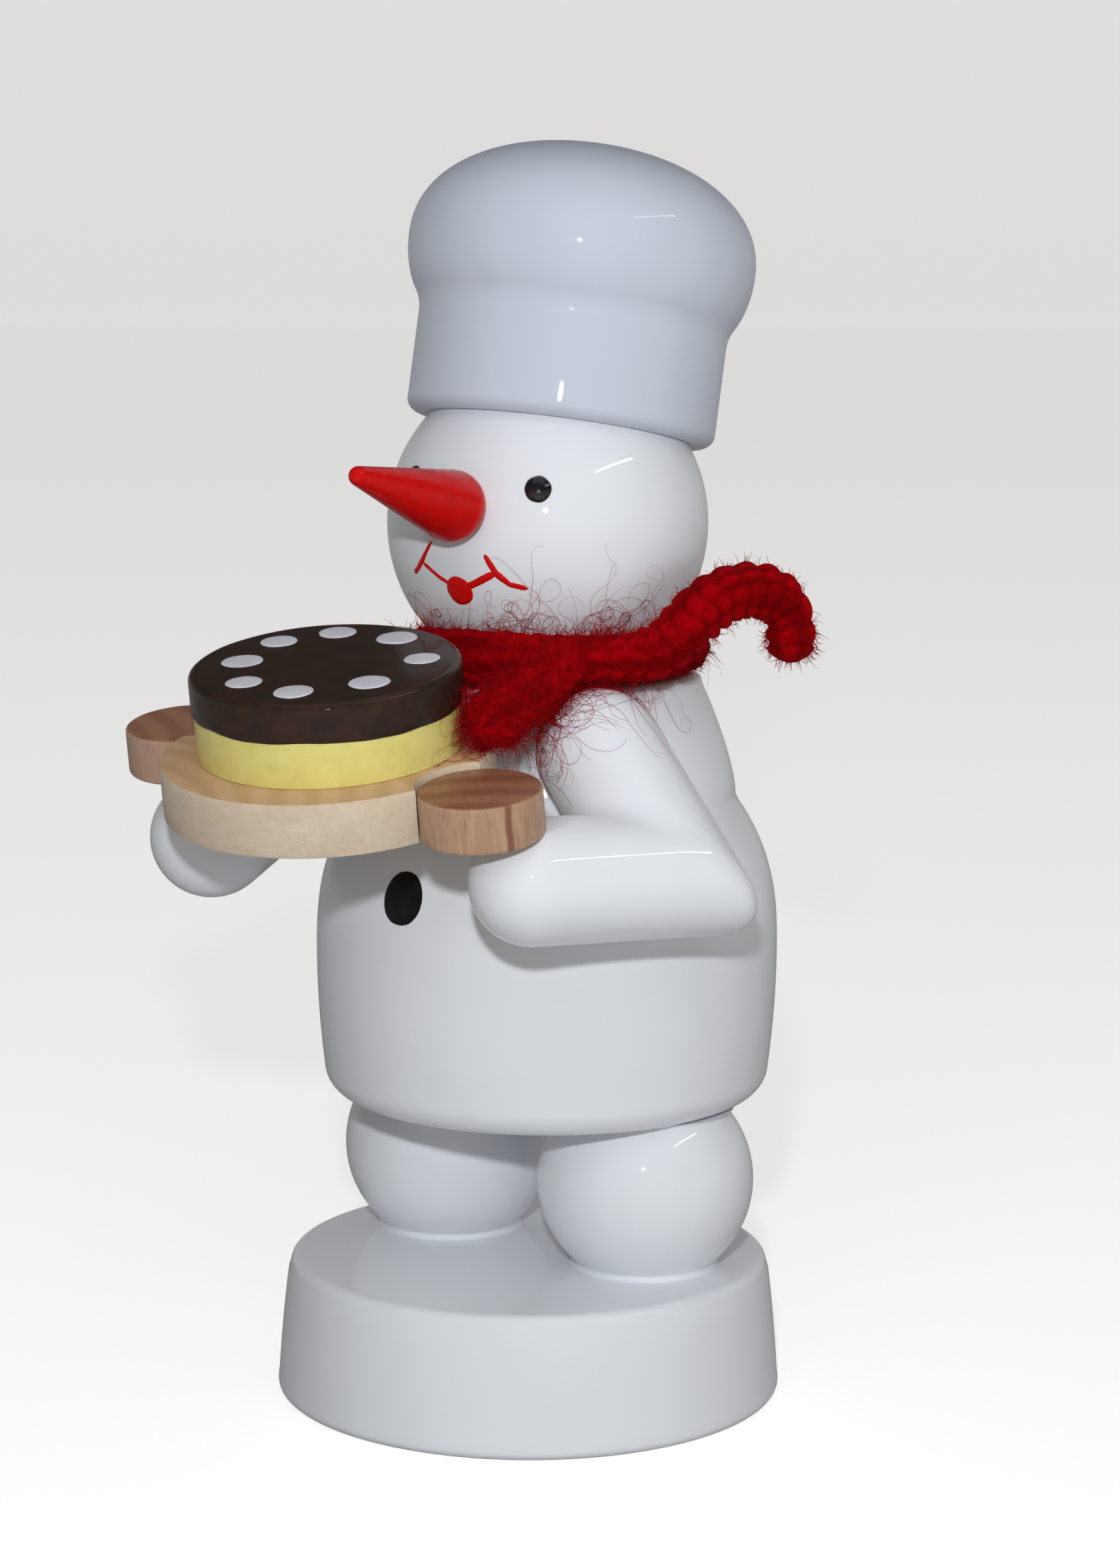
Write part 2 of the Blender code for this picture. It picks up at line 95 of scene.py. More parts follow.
ELBOW = Vector((17.1, -8.6, 37.1))
HAND = Vector((12.6, -16.5, 37.25))
ELBOW_ROUND = 1.0
ELBOW_CREASE = 1.1
TRAY_CENTRE = Vector((-0.74, -19.35, 44.29))
TRAY_DIP_FORWARD = radians(10.0)
TRAY_DIP_SIDE = radians(2.9)
TRAY_TURN = radians(-3.9)
TRAY_RADIUS = 10.1
TRAY_THICKNESS = 3.4
HANDLE_RADIUS = 3.7
HANDLE_THICKNESS = 2.9
HANDLE_OFFSET = 12.15
HANDLE_DROP = 0.37
CAKE_RADIUS = 8.25
CAKE_HEIGHT = 5.25
CAKE_OFFSET = Vector((-0.13, 0.55, 0.0))
CORD_RADIUS = 1.65

# The knit of the scarf
STITCH_PITCH = 1.25
STITCH_COLUMNS = 4
STITCH_DEPTH = 0.6
CORD_RING_STEP = 0.13
CORD_SIDES = 44

SIDES = {"left": 1, "right": -1}
HEAD_FRAME = Matrix.Translation(HEAD_CENTRE) @ Matrix.Rotation(-HEAD_LEAN, 4, "X")
BODY_FRAME = Matrix.Translation((0, AXIS_Y, 0))
NOSE_ORIGIN = HEAD_FRAME @ NOSE_SHIFT
NOSE_AXIS = HEAD_FRAME.to_3x3() @ Vector((sin(NOSE_TURN), -cos(NOSE_TURN), tan(NOSE_RISE))).normalized()
TRAY_UP = Vector((tan(TRAY_DIP_SIDE), -tan(TRAY_DIP_FORWARD), 1.0)).normalized()
TRAY_SIDE = Vector((cos(TRAY_TURN), sin(TRAY_TURN), 0.0))
TRAY_SIDE = (TRAY_SIDE - TRAY_UP * TRAY_SIDE.dot(TRAY_UP)).normalized()
TRAY_AXES = Matrix((TRAY_SIDE, TRAY_UP.cross(TRAY_SIDE), TRAY_UP)).transposed().to_4x4()
TRAY_FRAME = Matrix.Translation(TRAY_CENTRE) @ TRAY_AXES


# ---- camera, stage and light

def make_camera():
    """A long lens at the figure's left front, level with the hat and looking a little down."""
    azimuth, pitch, roll = radians(36.995), radians(9.335), radians(0.293)
    heading = azimuth - radians(0.433)
    distance, height = 249.6, 80.75
    place = Vector((distance * sin(azimuth), -distance * cos(azimuth), height)) * MM
    forward = Vector((-sin(heading) * cos(pitch), cos(heading) * cos(pitch), -sin(pitch)))
    level = Vector((cos(heading), sin(heading), 0.0))
    upward = level.cross(forward)
    right = level * cos(roll) + upward * sin(roll)
    top = upward * cos(roll) - level * sin(roll)
    data = bpy.data.cameras.new("camera")
    data.sensor_width = 36.0
    data.lens = 90.62
    data.clip_start = 0.01
    data.clip_end = 20.0
    camera = in_scene("camera", data)
    camera.matrix_world = Matrix.Translation(place) @ Matrix((right, top, -forward)).transposed().to_4x4()
    bpy.context.scene.camera = camera


def add_light(name, place, target, width, depth, power, colour, shape="RECTANGLE"):
    """An area light, with its place, target and size in millimetres. A disc takes its width only."""
    data = bpy.data.lights.new(name, "AREA")
    data.shape = shape
    data.size = width * MM
    if shape == "RECTANGLE":
        data.size_y = depth * MM
    data.energy = power
    data.color = colour
    light = in_scene(name, data)
    light.visible_camera = False
    place = Vector(place) * MM
    light.matrix_world = aim(place, place - Vector(target) * MM)
    return light


def make_lights(stage):
    """A small lamp at the left front, softboxes all round. Only glint, overhead and strip show as gloss."""
    cool, warm, plain = (0.96, 0.98, 1.0), (1.0, 0.985, 0.965), (1.0, 1.0, 1.0)
    key = add_light("key", (146, -205, 121), (0, 0, 45), 11, 11, 0.34, (0.93, 0.965, 1.0), "DISK")
    front = add_light("front", (240, -320, 400), (0, 0, 30), 400, 300, 0.53, cool)
    fill = add_light("fill", (500, 60, 80), (0, 0, 30), 400, 150, 0.28, warm)
    rear = add_light("rear", (0, 500, 140), (0, 0, 40), 400, 240, 0.5, plain)
    rear_side = add_light("rear_side", (-410, 287, 140), (0, 0, 40), 400, 240, 0.85, plain)
    add_light("overhead", (60, -80, 600), (0, 0, 0), 600, 600, 0.46, cool)
    glint = add_light("glint", (131, -185, 112), (0, 0, 45), 14, 14, 0.03, plain, "DISK")
    strip = add_light("strip", (283, 40, 290), (0, 0, 60), 210, 9, 0.13, plain)
    for light in (key, front, fill, rear, rear_side):
        light.visible_glossy = False
    for light in (glint, strip):
        light.visible_diffuse = False
    for light in (fill, rear, rear_side):
        light.light_linking.receiver_collection = stage
    world = bpy.data.worlds.new("studio")
    world.use_nodes = True
    background = world.node_tree.nodes["Background"]
    background.inputs["Color"].default_value = (1.0, 0.91, 0.83, 1.0)
    background.inputs["Strength"].default_value = 0.055
    bpy.context.scene.world = world
    bpy.context.scene.view_settings.view_transform = "Standard"


def make_stage():
    """A pale sweep for the camera to see, over a dimmer one that sends light back up at the figure.

    Returns both as a collection of things that a light linked to it leaves dark.
    """
    seen = add_sweep("stage_floor", 0.0, stage_look("pale_floor", (0.72, 0.715, 0.71), 0.64, 0.0))
    seen.visible_diffuse = False
    seen.visible_glossy = False
    seen.visible_shadow = False
    unseen = add_sweep("stage_bounce", -0.2, stage_look("bounce_floor", (0.58, 0.57, 0.56), 0.30, 1.0))
    unseen.visible_camera = False
    stage = bpy.data.collections.new("stage")
    for sweep in (seen, unseen):
        stage.objects.link(sweep)
    for member in stage.collection_objects:
        member.light_linking.link_state = "EXCLUDE"
    return stage


def stage_look(name, colour, glow, fading):
    """Paper that glows by the strength glow, and with fading 1 only away from the figure and low down."""
    look = Look(name, colour, roughness=0.9)
    dark, light = (tuple(tone * share for share in colour) for tone in (0.985, 1.015))
    look.mix_colour(look.noise(scale=0.09, detail=3.0), dark, light)
    look.set(Emission_Color=(1.0, 0.998, 0.992, 1.0))
    reach = look.add("ShaderNodeVectorMath", {0: look.stretched(0.001, 0.001, 0.0)}, operation="LENGTH")
    height = look.add("ShaderNodeSeparateXYZ", {"Vector": look.stretched(0.001, 0.001, 0.001)})
    far = look.ramp(reach.outputs["Value"], (0.06, 1.0 - fading), (0.5, 1.0))
    low = look.ramp(height.outputs["Z"], (0.12, 1.0), (0.5, 1.0 - fading))
    look.between(look.blend(1.0, far, low, "MULTIPLY"), 0.0, glow, "Emission Strength")
    return look.material


def add_sweep(name, level, material):
    """A floor that curves up into a low wall all round."""
    floor_radius, corner, wall_height, middle = 1500.0, 500.0, 520.0, 400.0
    wall = [(floor_radius + corner, wall_height)]
    sweep = arc(floor_radius, corner, corner, 0, -90, 16)
    verts, faces = spin(wall + sweep + [(middle, 0.0), (0.0, 0.0)], 96)
    verts = [Vector(v) + Vector((0, 0, level)) for v in verts]
    floor = smooth_mesh(name, verts, [f[::-1] for f in faces], material)
    return floor


# ---- materials

class Look:
    """A Principled material in object coordinates, in millimetres, with short ways to add nodes to it."""

    def __init__(self, name, colour, roughness, coat=0.0, coat_roughness=0.05):
        self.material = bpy.data.materials.new(name)
        self.material.use_nodes = True
        self.tree = self.material.node_tree
        self.shader = self.tree.nodes["Principled BSDF"]
        self.set(Base_Color=(*colour, 1.0), Roughness=roughness)
        self.set(Coat_Weight=coat, Coat_Roughness=coat_roughness)
        self.place = self.add("ShaderNodeTexCoord").outputs["Object"]

    def feed(self, socket, value):
        """Gives a socket a value, or links another node's output to it."""
        if isinstance(value, bpy.types.NodeSocket):
            self.tree.links.new(value, socket)
        else:
            socket.default_value = value

    def set(self, **values):
        """Feeds sockets of the shader. An underscore stands for the space in a socket's name."""
        for name, value in values.items():
            self.feed(self.shader.inputs[name.replace("_", " ")], value)

    def add(self, kind, sockets=None, **settings):
        """A new node with these settings, and with what its sockets are fed."""
        made = self.tree.nodes.new(kind)
        for key, value in settings.items():
            setattr(made, key, value)
        for socket, value in (sockets or {}).items():
            self.feed(made.inputs[socket], value)
        return made

    def stretched(self, x, y, z):
        """Coordinates in millimetres, scaled along each axis."""
        scale = (1000 * x, 1000 * y, 1000 * z)
        return self.add("ShaderNodeMapping", {"Vector": self.place, "Scale": scale}).outputs["Vector"]

    def noise(self, scale, detail, rough=0.5, where=None, distortion=0.0):
        where = where if where else self.stretched(1, 1, 1)
        sockets = {"Vector": where, "Scale": scale, "Detail": detail}
        sockets.update({"Roughness": rough, "Distortion": distortion})
        return self.add("ShaderNodeTexNoise", sockets).outputs["Fac"]

    def ramp(self, value, *stops):
        """A grey ramp: each stop is (position, grey)."""
        made = self.add("ShaderNodeValToRGB", {"Fac": value})
        points = made.color_ramp.elements
        while len(points) < len(stops):
            points.new(0.5)
        for point, (position, grey) in zip(points, stops):
            point.position = position
            point.color = (grey, grey, grey, 1.0)
        return made.outputs["Color"]

    def blend(self, share, first, second, mode="MIX"):
        """A mix of two colours, each one a tuple or a socket."""
        first, second = ((*c, 1.0) if isinstance(c, tuple) else c for c in (first, second))
        sockets = {"Factor": share, 6: first, 7: second}
        return self.add("ShaderNodeMix", sockets, data_type="RGBA", blend_type=mode).outputs[2]

    def mix_colour(self, share, first, second):
        self.set(Base_Color=self.blend(share, first, second))

    def between(self, value, low, high, socket):
        """Drives a socket of the shader from low to high as value goes from 0 to 1."""
        made = self.add("ShaderNodeMapRange", {"Value": value, "To Min": low, "To Max": high})
        self.feed(self.shader.inputs[socket], made.outputs["Result"])

    def bump(self, height, strength, distance, after=None):
        sockets = {"Strength": strength, "Distance": distance * MM, "Height": height}
        if after:
            sockets["Normal"] = after
        normal = self.add("ShaderNodeBump", sockets).outputs["Normal"]
        self.set(Normal=normal)
        return normal


def lacquer(name, light, dark, coat=0.6):
    """Sprayed paint under clear lacquer: slow clouds in the colour and faint waves in the gloss."""
    look = Look(name, light, roughness=0.3, coat=coat, coat_roughness=0.02)
    look.set(Specular_IOR_Level=0.2)
    look.mix_colour(look.noise(scale=0.16, detail=3.0), dark, light)
    look.between(look.noise(scale=1.2, detail=2.0), 0.34, 0.46, "Roughness")
    slow = look.bump(look.noise(scale=0.35, detail=1.0), 0.25, 0.12)
    look.bump(look.noise(scale=2.2, detail=2.0), 0.22, 0.02, slow)
    return look.material


def gloss_paint(name, colour, second, roughness=0.25, coat=0.6, shine=0.5):
    """Brushed gloss paint: a little thinner in places, with fine brush marks."""
    look = Look(name, colour, roughness, coat, coat_roughness=0.06)
    look.set(Specular_IOR_Level=shine)
    thin = look.noise(scale=0.9, detail=3.0)
    look.mix_colour(look.ramp(thin, (0.35, 0.0), (0.75, 1.0)), colour, second)
    look.between(thin, roughness - 0.06, roughness + 0.12, "Roughness")
    look.bump(look.noise(scale=2.2, detail=4.0, where=look.stretched(1.0, 1.0, 3.0)), 0.3, 0.03)
    return look.material


def cut_wood(name, pale, dark, end_tint, fibre_scale, rings_from, ring_scale, pores=0.4, vein=None):
    """A slice of wood: fibres stretched by fibre_scale, and faces with broad rings in a deeper tone."""
    look = Look(name, pale, roughness=0.45, coat=0.2, coat_roughness=0.25)
    fibres = look.noise(scale=2.6, detail=5.0, rough=0.6, where=look.stretched(*fibre_scale))
    broad = look.noise(scale=0.5, detail=2.0, where=look.stretched(*fibre_scale))
    flecks = look.noise(scale=5.0, detail=3.0, rough=0.7, where=look.stretched(*fibre_scale))
    grain = look.blend(look.ramp(fibres, (0.40, 0.0), (0.74, 0.8)), pale, dark)
    grain = look.blend(look.ramp(broad, (0.35, 0.0), (0.70, 0.5)), grain, dark)
    grain = look.blend(look.ramp(flecks, (0.60, 0.0), (0.70, pores)), grain, tuple(0.5 * c for c in dark))
    if vein:
        deepest = (0.6 * dark[0], 0.36 * dark[1], 0.32 * dark[2])
        grain = look.blend(dark_vein(look, *vein), grain, deepest)
    flat = look.stretched(1.0, 1.0, 0.15)
    centred = look.add("ShaderNodeVectorMath", {0: flat, 1: rings_from}, operation="ADD").outputs["Vector"]
    wave = {"Vector": centred, "Scale": ring_scale, "Distortion": 2.0, "Detail": 2.0, "Detail Scale": 0.5}
    rings = look.add("ShaderNodeTexWave", wave, wave_type="RINGS", rings_direction="Z").outputs["Fac"]
    normal = look.add("ShaderNodeNewGeometry").outputs["Normal"]
    upward = look.add("ShaderNodeVectorMath", {0: normal, 1: TRAY_UP}, operation="DOT_PRODUCT")
    top = look.ramp(upward.outputs["Value"], (0.6, 0.0), (0.9, 1.0))
    face = look.blend(look.ramp(rings, (0.2, 0.0), (0.85, 0.75)), pale, dark)
    face = look.blend(look.ramp(fibres, (0.35, 0.0), (0.7, 0.6)), face, dark)
    face = look.blend(1.0, face, end_tint, "MULTIPLY")
    look.mix_colour(top, grain, face)
    look.between(fibres, 0.38, 0.58, "Roughness")
    look.bump(fibres, 0.3, 0.03)
    return look.material


def dark_vein(look, across, place):
    """Share of a thin dark vein, in the plane that lies at place along the direction across."""
    wander = 0.24
    here = look.stretched(1.0, 1.0, 1.0)
    depth = look.add("ShaderNodeVectorMath", {0: here, 1: across}, operation="DOT_PRODUCT").outputs["Value"]
    wavy = {0: look.noise(scale=0.6, detail=3.0), 1: wander, 2: depth}
    moved = look.add("ShaderNodeMath", wavy, operation="MULTIPLY_ADD").outputs["Value"]
    away = look.add("ShaderNodeMath", {0: moved, 1: place + wander / 2}, operation="SUBTRACT")
    size = look.add("ShaderNodeMath", {0: away.outputs["Value"]}, operation="ABSOLUTE")
    return look.ramp(size.outputs["Value"], (0.0, 0.85), (0.12, 0.8), (0.26, 0.0))


def wool(name, bright, deep):
    """Yarn: darker in the pits of the knit as painted shade, some strands a deeper red at random, and
    twisted fibres in the bump.
    """
    look = Look(name, bright, roughness=0.95)
    look.set(Sheen_Weight=0.2, Sheen_Roughness=0.5, Sheen_Tint=(0.8, 0.01, 0.02, 1.0))
    look.set(Specular_IOR_Level=0.05)
    relief = look.add("ShaderNodeAttribute", attribute_name="relief").outputs["Fac"]
    strand = look.add("ShaderNodeAttribute", attribute_name="strand").outputs["Fac"]
    twist = look.noise(scale=5.5, detail=4.0, rough=0.7, distortion=0.6)
    deepest = tuple(0.5 * c for c in deep)
    tone = look.blend(look.ramp(twist, (0.3, 0.0), (0.7, 1.0)), deep, bright)
    tone = look.blend(look.ramp(strand, (0.32, 0.9), (0.62, 0.0)), tone, deepest)
    # Painted shade: the colour falls to deepest where the knit's relief is low, in the pits between the
    # stitches
    look.mix_colour(look.ramp(relief, (0.05, 0.0), (0.7, 1.0)), deepest, tone)
    look.bump(twist, 0.8, 0.12)
    return look.material


def fibre_look(name, bright, deep):
    look = Look(name, bright, roughness=0.9)
    look.set(Specular_IOR_Level=0.1)
    look.mix_colour(look.noise(scale=0.8, detail=3.0), deep, bright)
    return look.material


def bare_dowel(name):
    look = Look(name, (0.62, 0.46, 0.28), roughness=0.6)
    grain = look.noise(scale=2.0, detail=4.0, where=look.stretched(1.0, 1.0, 0.1))
    look.mix_colour(grain, (0.68, 0.52, 0.33), (0.50, 0.34, 0.19))
    look.bump(grain, 0.3, 0.05)
    return look.material


# ---- mesh helpers

def arc(centre_r, centre_z, radius, start, end, count):
    """Outline points (radius, height) on a circle, from angle start to end in degrees."""
    angles = [radians(start + (end - start) * i / count) for i in range(count + 1)]
    return [(centre_r + radius * cos(a), centre_z + radius * sin(a)) for a in angles]


def turns(count):
    """Angles of count even steps round a circle."""
    return [2 * pi * i / count for i in range(count)]


def quads(a, b, count, inward=False):
    """Faces between two closed rings of count vertices, which start at the vertices a and b."""
    faces = []
    for i in range(count):
        j = (i + 1) % count
        faces.append((a + i, a + j, b + j, b + i) if inward else (a + i, b + i, b + j, a + j))
    return faces


def domed(tip, sides, rings):
    """Faces of the vertex tip and of the closed rings of vertices that come after it."""
    faces = [(tip, tip + 1 + i, tip + 1 + (i + 1) % sides) for i in range(sides)]
    for k in range(rings - 1):
        faces += quads(tip + 1 + k * sides, tip + 1 + (k + 1) * sides, sides)
    return faces


def spin(outline, steps=112):
    """Vertices and faces of an outline (radius, height), given from the top down, turned round Z."""
    verts, rings, faces = [], [], []
    for r, z in outline:
        if r < 1e-6:
            rings.append([len(verts)])
            verts.append((0.0, 0.0, z))
        else:
            rings.append(list(range(len(verts), len(verts) + steps)))
            verts += [(r * cos(t), r * sin(t), z) for t in turns(steps)]
    for upper, lower in zip(rings, rings[1:]):
        for i in range(steps):
            j = (i + 1) % steps
            if len(upper) == 1:
                faces.append((upper[0], lower[i], lower[j]))
            elif len(lower) == 1:
                faces.append((upper[i], lower[0], upper[j]))
            else:
                faces.append((upper[i], lower[i], lower[j], upper[j]))
    return verts, faces


def in_scene(name, data):
    made = bpy.data.objects.new(name, data)
    bpy.context.scene.collection.objects.link(made)
    return made


def smooth_mesh(name, verts, faces, material):
    """A smooth object in the scene, from vertices in millimetres."""
    mesh = bpy.data.meshes.new(name)
    mesh.from_pydata([Vector(v) * MM for v in verts], [], faces)
    mesh.shade_smooth()
    mesh.materials.append(material)
    return in_scene(name, mesh)


def add_piece(name, verts, faces, material, slot=None, place=None, stands_for=(), crease=38):
    """A smooth piece that rides on the figure. Its vertices are in millimetres in the frame of place."""
    obj = smooth_mesh(name, verts, faces, material)
    obj.data.set_sharp_from_angle(angle=radians(crease))
    if place is not None:
        spot = place.copy()
        spot.translation = spot.translation * MM
        obj.matrix_world = spot
    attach(obj, "root")
    if stands_for:
        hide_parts(*stands_for)
    return obj


def turned(name, outline, material, slot, place, stands_for=(), steps=112, crease=38):
    add_piece(name, *spin(outline, steps), material, slot, place, stands_for, crease)


def aim(origin, direction):
    return Matrix.Translation(origin) @ Vector(direction).to_track_quat("Z", "Y").to_matrix().to_4x4()


def mirrored(point):
    return Vector((-point.x, point.y, point.z))


# ---- turned pieces

def body_radius(z):
    """Radius of the body's side at a height, between its two end roundings."""
    if z < BELLY_WIDEST:
        drop = (BELLY_WIDEST - z) / (BELLY_WIDEST - BODY_BOTTOM - BELLY_ROUND)
        return BELLY_RADIUS - (BELLY_RADIUS - BELLY_FOOT_RADIUS) * drop**2
    if z < WAIST_HEIGHT:
        share = (z - BELLY_WIDEST) / (WAIST_HEIGHT - BELLY_WIDEST)
        return BELLY_RADIUS - (BELLY_RADIUS - WAIST_RADIUS) * share**BELLY_CURVE
    share = min(max((z - CHEST_START) / (CHEST_TOP - CHEST_START), 0.0), 1.1)
    return CHEST_RADIUS - CHEST_DRAW_IN * share**CHEST_CURVE


def heights(top, bottom, count):
    return [top + (bottom - top) * i / count for i in range(count + 1)]


def make_body(white):
    rim_centre = CHEST_RADIUS - CHEST_DRAW_IN - 0.95 * CHEST_ROUND
    rim = arc(rim_centre, BODY_TOP - CHEST_ROUND, CHEST_ROUND, 90, 30, 6)
    chest = [(body_radius(z), z) for z in heights(CHEST_TOP, CHEST_START, 14)]
    belly = [(body_radius(z), z) for z in heights(WAIST_HEIGHT, BODY_BOTTOM + BELLY_ROUND + 0.4, 34)]
    corner = arc(BELLY_FOOT_RADIUS - BELLY_ROUND, BODY_BOTTOM + BELLY_ROUND, BELLY_ROUND, 0, -90, 10)
    outline = [(0.0, BODY_TOP)] + rim + chest + belly + corner + [(0.0, BODY_BOTTOM)]
    turned("body_turned", outline, white, "white_lacquer", BODY_FRAME, ["body"], 144)


def make_base(white):
    top_round, foot_round = 0.7, 0.6
    upper = arc(BASE_TOP_RADIUS - top_round, BASE_HEIGHT - top_round, top_round, 90, 4, 8)
    lower = arc(BASE_RADIUS - foot_round, foot_round, foot_round, 3, -90, 6)
    side = []
    for z in heights(BASE_HEIGHT - 1.2, 1.2, 8):
        share = z / BASE_HEIGHT
        radius = BASE_RADIUS + (BASE_TOP_RADIUS - BASE_RADIUS) * share
        side.append((radius + 0.4 * share * (1 - share), z))
    outline = [(0.0, BASE_HEIGHT), (8.0, BASE_HEIGHT)] + upper + side + lower + [(0.0, 0.0)]
    turned("base_disc", outline, white, "white_lacquer", Matrix(), ["base"], 160)


def make_feet(white, glue):
    """Two balls, each flat on the base and under the body, in a thin collar of glue at both ends."""
    low = BASE_HEIGHT - FOOT_CENTRE_HEIGHT
    high = BODY_BOTTOM - FOOT_CENTRE_HEIGHT
    start, end = degrees(asin(high / FOOT_RADIUS)), degrees(asin(low / FOOT_RADIUS))
    ball = [(0.0, high)] + arc(0.0, 0.0, FOOT_RADIUS, start, end, 40) + [(0.0, low)]
    collars = {"glue": glue_collar(low, 0.4, 0.8, 1), "top_glue": glue_collar(high, 0.42, 0.6, -1)}
    for side, sign in SIDES.items():
        place = Matrix.Translation((sign * FOOT_SPREAD, AXIS_Y, FOOT_CENTRE_HEIGHT))
        turned(f"{side}_foot_ball", ball, white, "white_lacquer", place, [f"{side}_foot"])
        for part, collar in collars.items():
            turned(f"{side}_foot_{part}", collar, glue, "white_lacquer", place, steps=96, crease=60)


def glue_collar(level, climb, spread, upward):
    """Hollow fillet between a foot ball and the flat that it stands on, as an outline from the top down."""
    climbed = level + upward * climb
    on_ball = sqrt(FOOT_RADIUS**2 - climbed**2) - 0.04
    on_flat = sqrt(FOOT_RADIUS**2 - level**2) + spread
    points = []
    for i in range(9):
        t = i / 8
        bend = 0.30 * sin(pi * t)
        r = on_ball + (on_flat - on_ball) * t - bend * 0.5
        z = climbed + (level - upward * 0.02 - climbed) * t - upward * bend * 0.42 * climb
        points.append((r, z))
    inner = sqrt(FOOT_RADIUS**2 - level**2) - 0.3
    closed = points + [(inner, level - upward * 0.02)] + [points[0]]
    return closed if upward > 0 else closed[::-1]


def make_head(white):
    start = degrees(asin((HAT_BRIM + 0.3) / HEAD_RADIUS))
    outline = [(0.0, HAT_BRIM + 0.3)] + arc(0.0, 0.0, HEAD_RADIUS, start, -90, 72)
    turned("head_ball", outline, white, "white_lacquer", HEAD_FRAME, ["head"], 144)


def make_hat(hat_white):
    """Toque: a straight band that runs in a soft hollow into the puffed crown above it."""
    rise = HAT_CROWN_TOP - HAT_CROWN_WIDEST
    crown = [(0.0, HAT_CROWN_TOP)]
    for i in range(1, 31):
        angle = pi / 2 * (1 - i / 30)
        radius = HAT_CROWN_RADIUS * cos(angle) ** (2 / HAT_CROWN_POWER)
        crown.append((radius, HAT_CROWN_WIDEST + rise * sin(angle) ** (2 / HAT_CROWN_POWER)))
    skirt = []
    for i in range(1, 15):
        share = HAT_SKIRT_SHARE * i / 14
        radius = HAT_CROWN_RADIUS - HAT_SKIRT_INSET * (1 - sqrt(1 - share**2))
        skirt.append((radius, HAT_CROWN_WIDEST - HAT_SKIRT_DROP * share))
    meet_r, meet_z = skirt[-1]
    lean = atan2(meet_r - skirt[-2][0], meet_z - skirt[-2][1]) + pi
    bend = (meet_r - HAT_BAND_RADIUS) / (1 - cos(lean))
    hollow = []
    for i in range(1, 11):
        angle = lean * (1 - i / 10)
        radius = HAT_BAND_RADIUS + bend * (1 - cos(angle))
        hollow.append((radius, meet_z - bend * (sin(lean) - sin(angle))))
    edge = 0.8
    brim = arc(HAT_BAND_RADIUS - edge, HAT_BRIM + edge, edge, 0, -90, 10)
    inside = [(HEAD_RADIUS * 0.8, HAT_BRIM), (0.0, HAT_BRIM)]
    outline = crown + skirt + hollow + [(HAT_BAND_RADIUS, 9.4)] + brim + inside
    turned("hat_toque", outline, hat_white, "hat_lacquer", HEAD_FRAME, ["hat"], 144, crease=30)


def make_nose(red):
    tip = NOSE_END - NOSE_TIP_RADIUS
    widest = NOSE_START + NOSE_SHOULDER * sin(radians(75))
    slope = degrees(atan2(NOSE_RADIUS - NOSE_TIP_RADIUS, tip - widest))
    end_cap = arc(0.0, tip, NOSE_TIP_RADIUS, 90, slope, 10)
    shoulder = []
    for i in range(13):
        angle = radians(slope - (slope + 90) * i / 12)
        radius = NOSE_RADIUS - NOSE_SHOULDER * 0.62 * (1 - cos(angle))
        shoulder.append((radius, widest + NOSE_SHOULDER * sin(angle)))
    neck = [(1.2, shoulder[-1][1]), (1.1, 8.8), (0.0, 8.8)]
    place = aim(NOSE_ORIGIN, NOSE_AXIS)
    turned("nose_cone", end_cap + shoulder + neck, red, "red_lacquer", place, ["nose"], 72, crease=50)


# ---- arms

def arm_length(dome, elbow, across, inward, half):
    """Vertices and faces of one length of dowel, from its domed end to the mitre at the elbow.

    The mitre's edge is rubbed round on the outside of the elbow and filled with lacquer on the inside:
    every point near the mitre moves inward, the same way on both lengths, so the two run into each other.
    """
    steps, rows, dome_rows = 96, 44, 24
    away = (dome - elbow).normalized()
    first = away.cross(inward).normalized()
    second = away.cross(first)
    length = (dome - elbow).length
    outs = [first * cos(turn) + second * sin(turn) for turn in turns(steps)]
    verts, faces = [], []
    for k in range(rows + 1):
        share = (k / rows) ** 1.7
        for out in outs:
            start = -ARM_RADIUS * out.dot(across) / away.dot(across)
            spot = elbow + out * ARM_RADIUS + away * (start + (length - start) * share)
            outer = 0.5 - 0.5 * out.dot(inward)
            width = ELBOW_CREASE + (ELBOW_ROUND - ELBOW_CREASE) * outer
            gone = (spot - elbow).dot(across)
            lift = (width - gone) ** 2 / (2 * width) / tan(half) if gone < width else 0.0
            verts.append(spot + inward * lift)
    for k in range(1, dome_rows):
        rise = pi / 2 * k / dome_rows
        verts += [dome + (out * cos(rise) + away * sin(rise)) * ARM_RADIUS for out in outs]
    rings = rows + dome_rows
    for k in range(rings - 1):
        faces += quads(k * steps, (k + 1) * steps, steps, inward=True)
    verts += [dome + away * ARM_RADIUS, elbow]
    tip, heart = len(verts) - 2, len(verts) - 1
    last = (rings - 1) * steps
    for i in range(steps):
        j = (i + 1) % steps
        faces.append((last + i, last + j, tip))
        faces.append((j, i, heart))
    return verts, faces


def slice_off(verts, faces, point, outward):
    """Takes away what lies beyond the plane and closes the cut."""
    bm = bmesh.new()
    made = [bm.verts.new(v) for v in verts]
    for face in faces:
        bm.faces.new([made[i] for i in face])
    everything = bm.verts[:] + bm.edges[:] + bm.faces[:]
    cut = bmesh.ops.bisect_plane(
        bm, geom=everything, dist=1e-5, plane_co=point, plane_no=outward, clear_outer=True
    )
    edges = [e for e in cut["geom_cut"] if isinstance(e, bmesh.types.BMEdge)]
    bmesh.ops.contextual_create(bm, geom=edges)
    bm.verts.index_update()
    left_verts = [v.co.copy() for v in bm.verts]
    left_faces = [tuple(v.index for v in f.verts) for f in bm.faces]
    bm.free()
    return left_verts, left_faces


